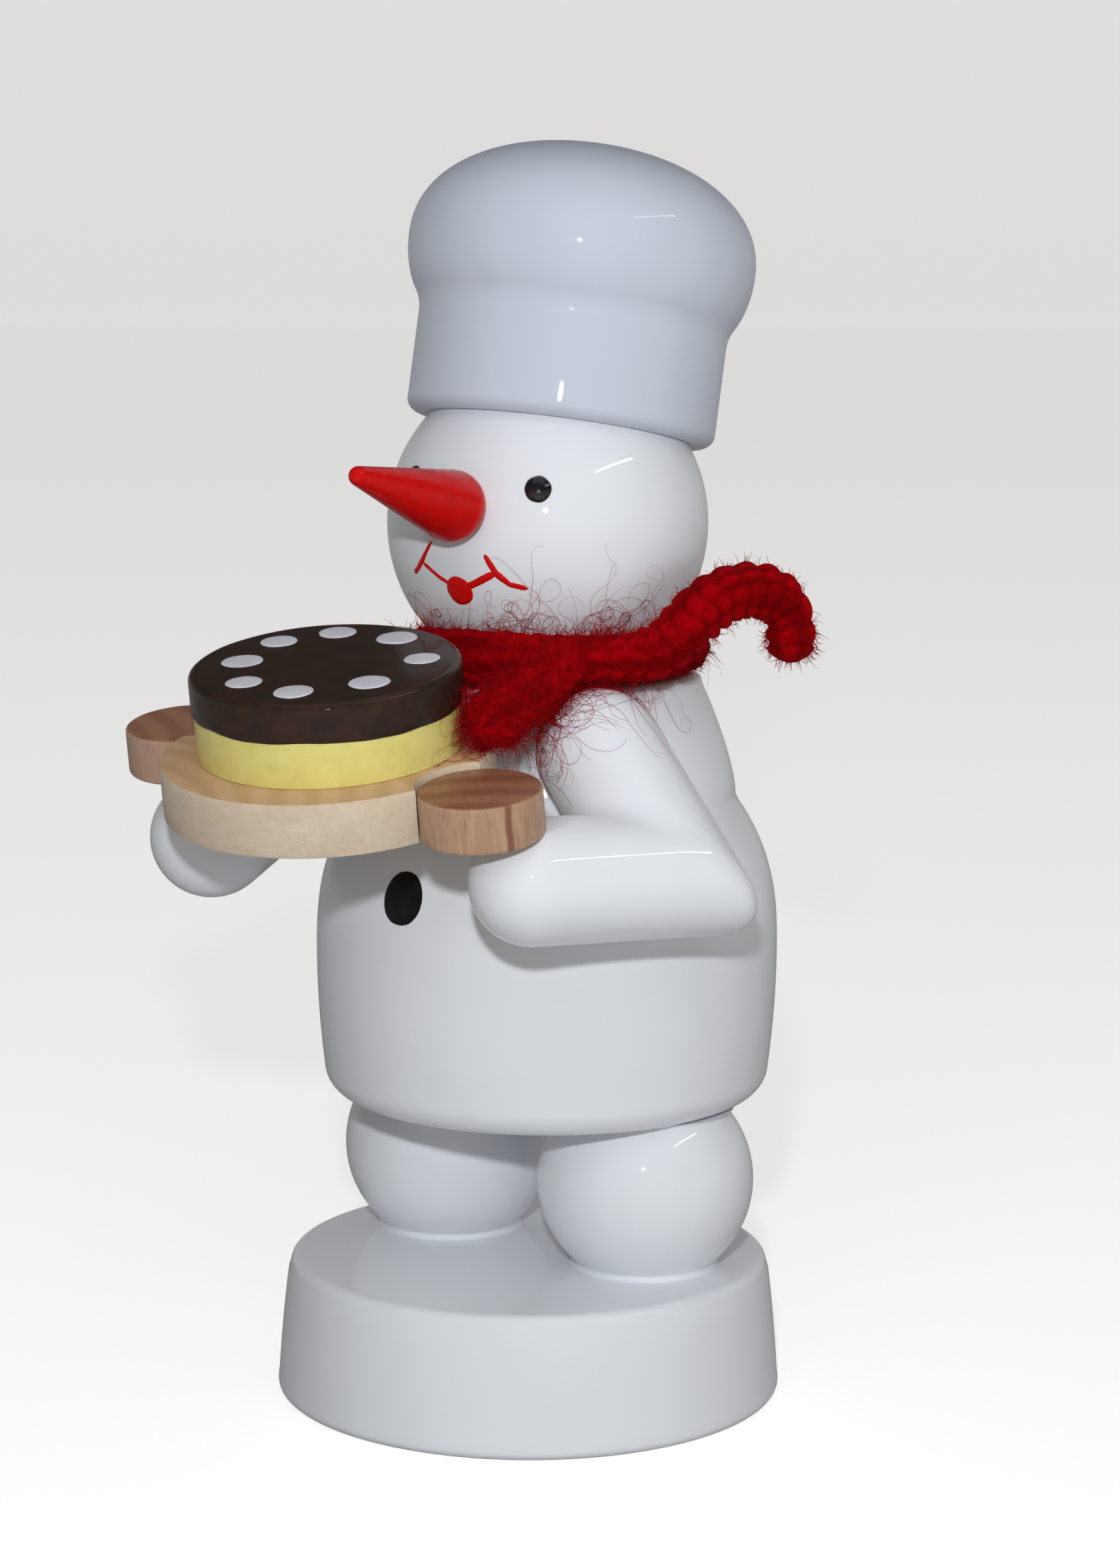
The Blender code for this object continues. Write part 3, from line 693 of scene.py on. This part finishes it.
def make_arm(side, flip, white):
    """Upper arm and forearm, mitred together; the tray's handle sits on a flat on the forearm's end."""
    shoulder, elbow, hand = flip(SHOULDER), flip(ELBOW), flip(HAND)
    up = (shoulder - elbow).normalized()
    forward = (hand - elbow).normalized()
    across = (up - forward).normalized()
    inward = (up + forward).normalized()
    half = acos(up.dot(forward)) / 2
    seat = TRAY_FRAME @ Vector((0, 0, -HANDLE_DROP - HANDLE_THICKNESS + 0.02))
    upper = arm_length(shoulder, elbow, across, inward, half)
    fore = slice_off(*arm_length(hand, elbow, -across, inward, half), seat, TRAY_UP)
    for part, shape in (("upper_arm", upper), ("forearm", fore)):
        name = f"{side}_{part}"
        add_piece(name + "_dowel", *shape, white, "white_lacquer", stands_for=[name], crease=50)


# ---- tray and cake

def make_tray(maple):
    """A disc with a round bite out of each side, where the handles sit."""
    bite = HANDLE_RADIUS + 0.07
    meets = acos((TRAY_RADIUS**2 + HANDLE_OFFSET**2 - bite**2) / (2 * TRAY_RADIUS * HANDLE_OFFSET))
    rim = []
    for middle in (0.0, pi):
        for i in range(25):
            turn = meets * (i / 12 - 1)
            inside = bite**2 - (HANDLE_OFFSET * sin(turn)) ** 2
            rim.append((middle + turn, HANDLE_OFFSET * cos(turn) - sqrt(max(inside, 0.0))))
        for i in range(1, 72):
            rim.append((middle + meets + (pi - 2 * meets) * i / 72, TRAY_RADIUS))
    edge = 0.22
    loops = [(edge, 0.0), (0.3 * edge, -0.3 * edge), (0.0, -edge)]
    low = -TRAY_THICKNESS
    loops += [(0.0, edge + low), (0.3 * edge, 0.3 * edge + low), (edge, low)]
    verts = [(0.0, 0.0, 0.0)]
    for inset, z in loops:
        verts += [((r - inset) * cos(t), (r - inset) * sin(t), z) for t, r in rim]
    verts.append((0.0, 0.0, low))
    count, last = len(rim), len(verts) - 1
    faces = domed(0, count, len(loops))
    faces += [(last - count + (i + 1) % count, last - count + i, last) for i in range(count)]
    add_piece("tray_disc", verts, faces, maple, "pale_wood", TRAY_FRAME, ["tray"], crease=28)


def make_handles(looks):
    edge = 0.24
    rim = arc(HANDLE_RADIUS - edge, -edge, edge, 90, 0, 4)
    foot = arc(HANDLE_RADIUS - edge, edge - HANDLE_THICKNESS, edge, 0, -90, 4)
    outline = [(0.0, 0.0)] + rim + foot + [(0.0, -HANDLE_THICKNESS)]
    for side, sign in SIDES.items():
        place = TRAY_FRAME @ Matrix.Translation((sign * HANDLE_OFFSET, 0, -HANDLE_DROP))
        node = f"{side}_tray_handle"
        turned(node + "_disc", outline, looks[side], "handle_wood", place, [node], 96, crease=28)


def make_cake(yellow, chocolate, dot_paint):
    place = TRAY_FRAME @ Matrix.Translation(CAKE_OFFSET)
    sponge_radius = CAKE_RADIUS - 0.13
    foot = arc(sponge_radius - 0.12, 0.12, 0.12, 0, -90, 3)
    sponge = [(0.0, 4.6), (sponge_radius, 4.6), (sponge_radius, 2.4)] + foot + [(0.0, 0.0)]
    turned("cake_sponge", sponge, yellow, "cake_paint", place, ["cake"], 128)
    make_glaze(place, chocolate)
    dots = ((24, 5.65), (73, 5.24), (127, 5.83), (176, 5.95))
    dots += ((-144, 6.1), (-108, 5.8), (-63, 5.2), (-17, 5.55))
    verts, faces = [], []
    for i, (turn, ring) in enumerate(dots):
        centre = Vector((ring * sin(radians(turn)), -ring * cos(radians(turn)), CAKE_HEIGHT))
        blob(verts, faces, centre, 1.2 + 0.09 * sin(2.4 * i), 0.07, i)
    add_piece("cake_dots", verts, faces, dot_paint, "white_lacquer", place, crease=60)


def make_glaze(place, chocolate):
    """Chocolate coat over the cake's top, with a wavy lower edge that stands a little proud of the side."""
    steps, edge, lowest = 160, 0.5, 2.78
    verts = [(0.0, 0.0, CAKE_HEIGHT)]
    profile = [(CAKE_RADIUS * 0.5, CAKE_HEIGHT)]
    profile += arc(CAKE_RADIUS - edge, CAKE_HEIGHT - edge, edge, 90, 0, 8)
    skirt = ((0.0, 0.5), (0.0, 0.16), (0.04, 0.04), (0.13, 0.0))
    for r, z in profile:
        for turn in turns(steps):
            sag = 0.05 * noise.noise(Vector((2 * cos(turn), 2 * sin(turn), z)))
            verts.append((r * cos(turn), r * sin(turn), z + (sag if z > CAKE_HEIGHT - edge else 0.0)))
    for proud, above in skirt:
        for turn in turns(steps):
            around = Vector((cos(turn), sin(turn), 0.0))
            wave = 0.16 * noise.noise(around * 1.6) + 0.07 * noise.noise(around * 4.5 + Vector((5, 0, 0)))
            swell = 0.05 * noise.noise(around * 3.0 + Vector((0, 9, 0)))
            r = CAKE_RADIUS - proud + (swell if proud < 0.1 else 0.0) - 0.02
            verts.append((r * cos(turn), r * sin(turn), lowest + wave + above))
    faces = domed(0, steps, len(profile) + len(skirt))
    add_piece("cake_glaze", verts, faces, chocolate, None, place, crease=60)


def uneven_ring(sides, wave, amount, seed):
    """Cosine, sine and slightly uneven reach, all round a drop of paint."""
    ring = []
    for turn in turns(sides):
        rough = noise.noise(Vector((wave * cos(turn), wave * sin(turn), seed)))
        ring.append((cos(turn), sin(turn), 1 + amount * rough))
    return ring


def blob(verts, faces, centre, radius, height, seed):
    """A flat drop of paint with a slightly uneven outline, added to verts and faces."""
    first, sides = len(verts), 28
    verts.append(tuple(centre + Vector((0, 0, height))))
    rings = ((0.7, 0.92), (0.9, 0.62), (0.98, 0.25), (1.0, -0.3))
    for share, level in rings:
        for c, s, uneven in uneven_ring(sides, 1.5, 0.05, 3.1 * seed):
            spot = Vector((c, s, 0)) * radius * share * uneven
            verts.append(tuple(centre + spot + Vector((0, 0, height * level))))
    faces += domed(first, sides, len(rings))


# ---- painted face and button

def on_head(lon, lat):
    """A point of the head's ball in its own frame; lon is 0 at the front and grows to the figure's left."""
    around, above = radians(lon), radians(lat)
    r = HEAD_RADIUS
    return Vector((r * cos(above) * sin(around), -r * cos(above) * cos(around), r * sin(above)))


def drop_on_head(verts, faces, lon, lat, radius, height, seed):
    """A round drop of paint on the head."""
    first, sides = len(verts), 32
    centre = on_head(lon, lat)
    outward = centre.normalized()
    east = Vector((0, 0, 1)).cross(outward).normalized()
    north = outward.cross(east)
    verts.append(tuple(outward * (HEAD_RADIUS + height)))
    rings = ((0.35, 0.93), (0.62, 0.74), (0.84, 0.42), (0.95, 0.18), (1.0, -0.2))
    for share, level in rings:
        for c, s, uneven in uneven_ring(sides, 1.4, 0.06, 2.7 * seed):
            offset = (east * c + north * s) * radius * share * uneven
            verts.append(tuple((centre + offset).normalized() * (HEAD_RADIUS + height * level)))
    faces += domed(first, sides, len(rings))


def stroke_on_head(verts, faces, route, width):
    """A brush stroke through (lon, lat, share of width) points, raised in its middle."""
    height = 0.06
    fine = []
    for a, b in zip(route, route[1:]):
        fine += [tuple(p + (q - p) * i / 10 for p, q in zip(a, b)) for i in range(10)]
    fine.append(tuple(float(v) for v in route[-1]))
    points = [on_head(lon, lat) for lon, lat, _ in fine]
    profile = ((-1.0, -0.3), (-0.82, 0.45), (-0.4, 0.9), (0.0, 1.0), (0.4, 0.9), (0.82, 0.45), (1.0, -0.3))
    first, across = len(verts), len(profile)
    for i, point in enumerate(points):
        along = points[min(i + 1, len(points) - 1)] - points[max(i - 1, 0)]
        outward = point.normalized()
        sideways = outward.cross(along).normalized()
        near_end = min(i, len(points) - 1 - i)
        taper = min(1.0, sqrt((near_end + 0.15) / 2.5))
        wobble = 1 + 0.16 * noise.noise(point * 1.7)
        half = 0.5 * width * fine[i][2] * taper * wobble
        for share, level in profile:
            spot = (point + sideways * half * share).normalized()
            verts.append(tuple(spot * (HEAD_RADIUS + height * level * taper)))
    for i in range(len(points) - 1):
        for k in range(across - 1):
            a = first + i * across + k
            faces.append((a, a + across, a + across + 1, a + 1))


def make_face(black, red):
    verts, faces = [], []
    drop_on_head(verts, faces, 31.9, 6.9, 0.86, 0.34, 1)
    drop_on_head(verts, faces, -22.0, 7.0, 0.86, 0.34, 2)
    add_piece("eyes", verts, faces, black, None, HEAD_FRAME, crease=60)
    verts, faces = [], []
    drop_on_head(verts, faces, 2.4, -32.1, 1.0, 0.1, 3)
    near_corner = ((14.9, -17.8, 0.8), (17.2, -21.0, 1.0), (19.6, -24.2, 1.1))
    near_corner += ((25.0, -27.6, 1.0), (32.4, -28.4, 0.9))
    strokes = (
        (((1.0, -31.0, 0.8), (-7.0, -27.2, 0.75), (-14.6, -22.4, 0.85)), 0.36),
        (((-22.0, -26.4, 1.0), (-18.5, -24.6, 1.0), (-14.6, -21.6, 1.0), (-8.0, -14.6, 0.7)), 0.36),
        (((4.0, -31.4, 1.15), (11.0, -28.4, 1.2), (19.1, -24.1, 1.2)), 0.44),
        (near_corner, 0.4),
    )
    for route, width in strokes:
        stroke_on_head(verts, faces, route, width)
    add_piece("mouth", verts, faces, red, "red_lacquer", HEAD_FRAME, crease=60)


def make_button(black):
    """A painted spot on the front of the belly."""
    height, turn0, radius, sides = 34.06, radians(-1.6), 1.56, 40
    verts, faces = [], []
    rings = ((0.0, 1.0), (0.4, 1.0), (0.75, 0.85), (0.93, 0.5), (1.0, -0.3))
    for share, level in rings:
        for c, s, uneven in uneven_ring(sides, 1.2, 0.04, 0.5):
            reach = radius * share * uneven
            z = height + reach * s * 1.08
            r = body_radius(z) + 0.06 * level
            around = turn0 + reach * c / r
            verts.append((r * sin(around), -r * cos(around), z))
    for k in range(len(rings) - 1):
        faces += quads(k * sides, (k + 1) * sides, sides)
    add_piece("belly_button", verts, faces, black, None, BODY_FRAME, crease=60)


# ---- scarf

def on_neck(turn, radius, height):
    """A point round the body's axis; turn is 0 at the front and 90 at the left shoulder."""
    angle = radians(turn)
    return (radius * sin(angle), AXIS_Y - radius * cos(angle), height)


# The scarf's way as (point, share of the cord's width), with (turn, radius, height, share) round the neck
SCARF_FRONT_END = (
    ((9.0, -17.0, 46.1), 0.92),
    ((8.7, -14.2, 46.85), 1.05),
    ((8.5, -11.2, 47.65), 1.05),
    ((8.45, -8.0, 48.8), 0.93),
    ((8.45, -5.2, 49.0), 0.84),
)
SCARF_ROUND_NECK = (
    (62, 9.5, 48.75, 0.78),
    (82, 9.25, 48.6, 0.8),
    (104, 9.0, 48.55, 0.82),
    (128, 8.85, 48.5, 0.8),
    (152, 8.7, 48.45, 0.77),
    (176, 8.6, 48.4, 0.75),
    (200, 8.5, 48.35, 0.73),
    (224, 8.35, 48.3, 0.7),
    (248, 8.2, 48.25, 0.67),
    (272, 8.1, 48.2, 0.65),
    (296, 8.1, 48.2, 0.65),
    (318, 8.5, 48.35, 0.74),
    (340, 9.2, 48.6, 0.88),
    (360, 9.9, 48.8, 0.97),
    (380, 10.9, 48.95, 1.0),
    (398, 12.0, 49.05, 0.92),
    (413, 12.6, 49.1, 0.86),
)
SCARF_BACK_END = (
    ((11.75, -2.95, 49.5), 0.88),
    ((12.5, -1.45, 50.6), 0.95),
    ((13.1, -0.1, 51.8), 1.0),
    ((13.8, 1.45, 52.7), 1.0),
    ((14.55, 3.0, 53.0), 1.0),
    ((15.2, 4.4, 52.7), 0.97),
    ((15.65, 5.45, 51.8), 0.92),
    ((15.85, 5.8, 50.5), 0.88),
    ((15.9, 5.9, 48.3), 0.86),
)
SCARF_NECK = tuple((on_neck(*at), share) for *at, share in SCARF_ROUND_NECK)
SCARF_ROUTE = SCARF_FRONT_END + SCARF_NECK + SCARF_BACK_END


def smooth_route(route, step):
    """Arrays of points, widths and lengths every step along a Catmull-Rom curve through the route."""
    spots = np.array([p for p, _ in route])
    widths = np.array([w for _, w in route])
    padded = np.vstack([2 * spots[0] - spots[1], spots, 2 * spots[-1] - spots[-2]])
    fine, thick = [], []
    for i in range(len(spots) - 1):
        p0, p1, p2, p3 = padded[i : i + 4]
        for t in np.arange(40) / 40:
            b = (2 * p0 - 5 * p1 + 4 * p2 - p3) * t**2
            c = (3 * p1 - p0 - 3 * p2 + p3) * t**3
            fine.append((2 * p1 + (p2 - p0) * t + b + c) / 2)
            thick.append(widths[i] + (widths[i + 1] - widths[i]) * t)
    fine.append(spots[-1])
    thick.append(widths[-1])
    fine, thick = np.array(fine), np.array(thick)
    lengths = np.concatenate([[0], np.cumsum(np.linalg.norm(np.diff(fine, axis=0), axis=1))])
    at = np.linspace(0, lengths[-1], round(lengths[-1] / step) + 1)
    points = np.column_stack([np.interp(at, lengths, fine[:, k]) for k in range(3)])
    return points, np.interp(at, lengths, thick), at


def carried_frames(points):
    """Tangents and two unit normals along a curve, turned as little as possible from point to point."""
    tangents = np.gradient(points, axis=0)
    tangents /= np.linalg.norm(tangents, axis=1)[:, None]
    normal = np.cross(tangents[0], (0.0, 0.0, 1.0))
    normals = []
    for tangent in tangents:
        normal = normal - tangent * normal.dot(tangent)
        normal = normal / np.linalg.norm(normal)
        normals.append(normal)
    normals = np.array(normals)
    return tangents, normals, np.cross(tangents, normals)


def knit_relief(along, around, slant):
    """Height, 0 to 1, of a knitted tube's face: columns of V stitches, each leg a rounded strand."""
    column = (around / (2 * pi) * STITCH_COLUMNS) % 1.0
    row = (along / STITCH_PITCH + slant * np.abs(column - 0.5) * 2) % 1.0
    leg = (2 * column) % 1.0
    strand = np.sqrt(np.clip(1 - (2 * row - 1) ** 2, 0, 1))
    edge = np.sqrt(np.clip(1 - (2 * leg - 1) ** 2, 0, 1))
    return strand**0.8 * (0.55 + 0.45 * edge**0.6)


def cord_noise(along, angles, stretch, spread):
    """Smooth noise at every step along the cord and around it."""
    rows = []
    for a in along:
        rows.append([noise.noise(Vector((a * stretch, spread * cos(b), spread * sin(b)))) for b in angles])
    return np.array(rows)


def make_scarf(yarn):
    """The cord itself. Returns its surface points and normals, for the fibres to grow from."""
    points, widths, along = smooth_route(SCARF_ROUTE, CORD_RING_STEP)
    _, first, second = carried_frames(points)
    angles = 2 * pi * np.arange(CORD_SIDES) / CORD_SIDES
    s, t = np.meshgrid(along, angles, indexing="ij")
    stretch = np.clip((along - 0.80 * along[-1]) / 4.0, 0.0, 1.0)[:, None]
    relief = knit_relief(s, t + 0.05 * s, 1.5 - 1.2 * stretch)
    from_end = np.minimum(along, along[-1] - along)
    ends = np.sqrt(np.clip(from_end / 0.9, 0.02, 1.0))
    radius = CORD_RADIUS * widths[:, None] * ends[:, None]
    lumps = cord_noise(along, angles, 0.5, 2)
    loose = np.clip(1 - along / 12.0, 0.0, 1.0)[:, None]
    radius = radius * (1 + (0.09 + 0.13 * loose) * lumps) + 0.16
    radius = radius - STITCH_DEPTH * (1 - relief) * ends[:, None]
    radius = np.maximum(radius, 0.08)
    outward = np.cos(t)[..., None] * first[:, None] + np.sin(t)[..., None] * second[:, None]
    surface = points[:, None] + outward * radius[..., None]
    verts = [tuple(v) for v in surface.reshape(-1, 3)]
    verts += [tuple(points[0]), tuple(points[-1])]
    faces = []
    for i in range(len(points) - 1):
        faces += quads(i * CORD_SIDES, (i + 1) * CORD_SIDES, CORD_SIDES, inward=True)
    tail = (len(points) - 1) * CORD_SIDES
    for j in range(CORD_SIDES):
        k = (j + 1) % CORD_SIDES
        faces.append((j, len(verts) - 2, k))
        faces.append((tail + j, tail + k, len(verts) - 1))
    cord = add_piece("scarf_cord", verts, faces, yarn, "red_wool", stands_for=["scarf"], crease=180)
    strands = 0.5 + 0.5 * cord_noise(along, angles, 0.22, 2.6)
    # relief drives the painted shade in the knit's pits; strand gives some strands a deeper red at random
    for name, values in (("relief", relief), ("strand", strands)):
        shade = cord.data.attributes.new(name, "FLOAT", "POINT")
        shade.data.foreach_set("value", np.append(values.reshape(-1), [0.6, 0.6]).astype(np.float32))
    return surface, outward, points


# ---- fibres

def nearest(spots):
    """Each point's distance from the closest of head, body, left arm, cake and tray, and the way out."""
    found, too_far = [], 99.0

    def add_round(away, radius):
        far = np.maximum(np.linalg.norm(away, axis=1), 1e-6)
        found.append((far - radius, away / far[:, None]))

    add_round(spots - np.array(HEAD_CENTRE), HEAD_RADIUS)
    for a, b in ((SHOULDER, ELBOW), (ELBOW, HAND)):
        start, span = np.array(a), np.array(b - a)
        share = np.clip((spots - start) @ span / span.dot(span), 0, 1)[:, None]
        add_round(spots - start - share * span, ARM_RADIUS)
    wall = np.array([body_radius(min(max(z, 21.5), CHEST_TOP)) for z in spots[:, 2]])
    add_round((spots - np.array([0.0, AXIS_Y, 0.0])) * np.array([1.0, 1.0, 0.0]), wall)
    above = spots[:, 2] > BODY_TOP - 0.6
    found[-1][0][above] = too_far
    inverse = np.array(TRAY_FRAME.inverted())
    local = spots @ inverse[:3, :3].T + inverse[:3, 3]
    back = np.array(TRAY_FRAME)[:3, :3]
    from_cake = (local - np.array(CAKE_OFFSET)) * np.array([1.0, 1.0, 0.0])
    add_round(from_cake, CAKE_RADIUS)
    gap, way = found.pop()
    beside_cake = (local[:, 2] <= CAKE_HEIGHT) & (local[:, 2] >= 0)
    found.append((np.where(beside_cake, gap, too_far), way @ back.T))
    over_tray = (np.linalg.norm(local[:, :2], axis=1) < TRAY_RADIUS) & (local[:, 2] > -1.5)
    found.append((np.where(over_tray, local[:, 2], too_far), np.tile(np.array(TRAY_UP), (len(spots), 1))))
    distances = np.stack([d for d, _ in found])
    ways = np.stack([w for _, w in found])
    pick = distances.argmin(axis=0)
    rows = np.arange(len(spots))
    return distances[pick, rows], ways[pick, rows]


def unit(vectors):
    return vectors / np.maximum(np.linalg.norm(vectors, axis=1), 1e-9)[:, None]


def grow(rng, roots, headings, lengths, steps, curl, cling=0.0, pull=0.0, clearance=0.04):
    """Paths of fibres that start at roots and curl as they go.

    pull draws them down. A fibre within cling of a piece settles on it and curls along its surface.
    """
    paths = [roots]
    spots, headings = roots.copy(), unit(headings)
    axes = unit(rng.normal(size=roots.shape))
    bend = rng.normal(0, curl, len(roots))
    stride = (lengths / steps)[:, None]
    for _ in range(steps):
        bend = bend + rng.normal(0, 0.3 * curl, len(roots))
        gap, way = nearest(spots)
        near = (gap < cling)[:, None]
        axes = np.where(near, way, unit(axes + rng.normal(0, 0.3, axes.shape)))
        headings = unit(headings + np.cross(axes, headings) * bend[:, None] * stride)
        headings = unit(headings + np.array([0.0, 0.0, -pull]) * stride)
        along = (headings * way).sum(axis=1)[:, None]
        headings = np.where(near, unit(headings - way * along * 0.8), headings)
        spots = spots + headings * stride
        gap, way = nearest(spots)
        settle = np.where(gap < cling, 0.45 * (gap - clearance), 0.0)
        settle = np.where(gap < clearance, gap - clearance, settle)
        spots = spots - way * settle[:, None]
        paths.append(spots.copy())
    return np.stack(paths, axis=1)


def add_fibres(name, paths, thickness, material):
    """One mesh of three-sided threads along the paths, thinner towards their tips."""
    count, steps, _ = paths.shape
    tangents = np.gradient(paths, axis=1)
    tangents /= np.maximum(np.linalg.norm(tangents, axis=2), 1e-9)[..., None]
    helper = np.array([0.31, 0.52, 0.79])
    first = np.cross(tangents, helper)
    first /= np.maximum(np.linalg.norm(first, axis=2), 1e-9)[..., None]
    second = np.cross(tangents, first)
    taper = thickness * (1.0 - 0.6 * np.linspace(0, 1, steps))[None, :, None]
    corners = []
    for turn in turns(3):
        corners.append(paths + (first * cos(turn) + second * sin(turn)) * taper)
    verts = np.stack(corners, axis=2).reshape(-1, 3)
    base = (np.arange(count)[:, None] * steps + np.arange(steps - 1)[None]).reshape(-1) * 3
    faces = []
    for k in range(3):
        n = (k + 1) % 3
        faces.append(np.stack([base + k, base + n, base + 3 + n, base + 3 + k], axis=1))
    faces = np.concatenate(faces)
    add_piece(name, verts.tolist(), faces.tolist(), material, "red_wool", crease=180)


def make_fibres(surface, outward, points, wisp):
    """The nap all over the cord, tufts at its ends, and loose fibres on the head, arm, chest and tray."""
    rng = np.random.default_rng(7)
    rings, sides = surface.shape[:2]

    def batch(share, count, lean, toward, spread, lengths, *growth, sunk=0.0):
        """Fibres from a share of the cord's length; they leave by lean times the normal plus toward."""
        first, last = (int(end * (rings - 1)) for end in share)
        i = rng.integers(first, max(last, 1), count)
        j = rng.integers(0, sides, count)
        spots, normals = surface[i, j], outward[i, j]
        headings = normals * lean + toward + rng.normal(0, spread, normals.shape)
        return grow(rng, spots - sunk * normals, headings, rng.uniform(*lengths, count), *growth)

    nap = batch((0.0, 1.0), 5600, 1.0, 0.0, 0.8, (0.35, 0.95), 3, 1.6, sunk=0.1)
    add_fibres("scarf_nap", nap, 0.024, wisp)

    halo = []
    patches = (((0.0, 0.17), 900, 1.9), ((0.17, 0.30), 260, 1.5), ((0.60, 0.84), 240, 1.7))
    for share, count, longest in patches:
        halo.append(batch(share, count, 1.0, 0.0, 0.7, (0.7, longest), 8, 1.1, 0.3))
    add_fibres("scarf_halo", np.concatenate(halo), 0.019, wisp)

    tufts = []
    both_ends = ((0, 3, (0.0, 0.05), 420, 1.9), (-1, -4, (0.975, 1.0), 170, 1.0))
    for end, behind, share, count, longest in both_ends:
        leaving = unit((points[end] - points[behind])[None])[0]
        tufts.append(batch(share, count, 0.5, leaving * 0.9, 0.45, (0.4, longest), 5, 1.2))
    add_fibres("scarf_tufts", np.concatenate(tufts), 0.026, wisp)

    loose = []
    for share, toward, count in (
        ((0.70, 0.86), (0.0, 0.0, 1.0), 66),
        ((0.60, 0.70), (0.0, 0.0, 1.0), 12),
        ((0.0, 0.10), (0.0, 0.0, -1.0), 60),
        ((0.02, 0.2), (0.7, -0.25, -0.75), 190),
        ((0.68, 0.82), (0.3, -0.3, -0.9), 120),
    ):
        pull = 0.45 if toward[2] < 0 else 0.0
        loose.append(batch(share, count, 0.35, np.array(toward), 0.45, (2.5, 8.5), 28, 1.2, 2.2, pull))
    add_fibres("scarf_loose_fibres", np.concatenate(loose), 0.016, wisp)


# ---- the scene

make_camera()
make_lights(make_stage())

WHITE = lacquer("white_lacquer", (0.82, 0.835, 0.865), (0.785, 0.80, 0.83))
HAT_WHITE = lacquer("hat_lacquer", (0.60, 0.64, 0.72), (0.57, 0.61, 0.69), coat=0.2)
GLUE = lacquer("glue_and_lacquer", (0.85, 0.87, 0.91), (0.82, 0.84, 0.88), coat=0.8)
RED = gloss_paint("red_lacquer", (0.64, 0.006, 0.005), (0.56, 0.004, 0.004), coat=0.22, shine=0.06)
BLACK = gloss_paint("black_paint", (0.006, 0.006, 0.008), (0.012, 0.011, 0.012), roughness=0.2)
BUTTON_BLACK = gloss_paint("button_black", (0.005, 0.005, 0.006), (0.01, 0.01, 0.011), 0.4, 0.08, 0.15)
YELLOW = gloss_paint("cake_yellow", (0.78, 0.70, 0.225), (0.71, 0.62, 0.18), roughness=0.35, coat=0.3)
CHOCOLATE = gloss_paint("chocolate_glaze", (0.026, 0.016, 0.012), (0.045, 0.022, 0.014), 0.3, 0.25, 0.1)
DOT_WHITE = gloss_paint("dot_white", (0.76, 0.77, 0.82), (0.70, 0.70, 0.75), 0.4, 0.2, 0.2)
MAPLE = cut_wood(
    "pale_maple",
    pale=(0.69, 0.57, 0.43),
    dark=(0.57, 0.44, 0.30),
    end_tint=(1.0, 0.78, 0.58),
    fibre_scale=(0.25, 1.0, 1.0),
    rings_from=(8.0, 20.0, 0.0),
    ring_scale=0.16,
    pores=0.3,
)
HANDLE_WOODS = {
    "left": cut_wood(
        "left_handle_wood",
        pale=(0.52, 0.33, 0.21),
        dark=(0.33, 0.17, 0.10),
        end_tint=(0.75, 0.52, 0.45),
        fibre_scale=(1.0, 1.0, 0.16),
        rings_from=(-8.4, 11.2, 0.0),
        ring_scale=0.13,
        vein=((0.8, 0.6, 0.0), 1.85),
    ),
    "right": cut_wood(
        "right_handle_wood",
        pale=(0.50, 0.315, 0.215),
        dark=(0.34, 0.19, 0.13),
        end_tint=(0.8, 0.62, 0.52),
        fibre_scale=(1.0, 1.0, 0.16),
        rings_from=(5.0, 9.0, 0.0),
        ring_scale=0.15,
    ),
}
YARN = wool("red_wool", (0.48, 0.0008, 0.005), (0.30, 0.0004, 0.002))
WISP = fibre_look("red_fibre", (0.46, 0.002, 0.008), (0.25, 0.0008, 0.003))
DOWEL = bare_dowel("dowel_wood")

make_fibres(*make_scarf(YARN), WISP)
make_base(WHITE)
make_feet(WHITE, GLUE)
make_body(WHITE)
make_head(WHITE)
make_hat(HAT_WHITE)
make_nose(RED)
make_arm("left", Vector, WHITE)
make_arm("right", mirrored, WHITE)
make_tray(MAPLE)
make_handles(HANDLE_WOODS)
make_cake(YELLOW, CHOCOLATE, DOT_WHITE)
make_face(BLACK, RED)
make_button(BUTTON_BLACK)

for name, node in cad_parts.items():
    if name.endswith("_dowel"):
        node.data.materials.clear()
        node.data.materials.append(DOWEL)
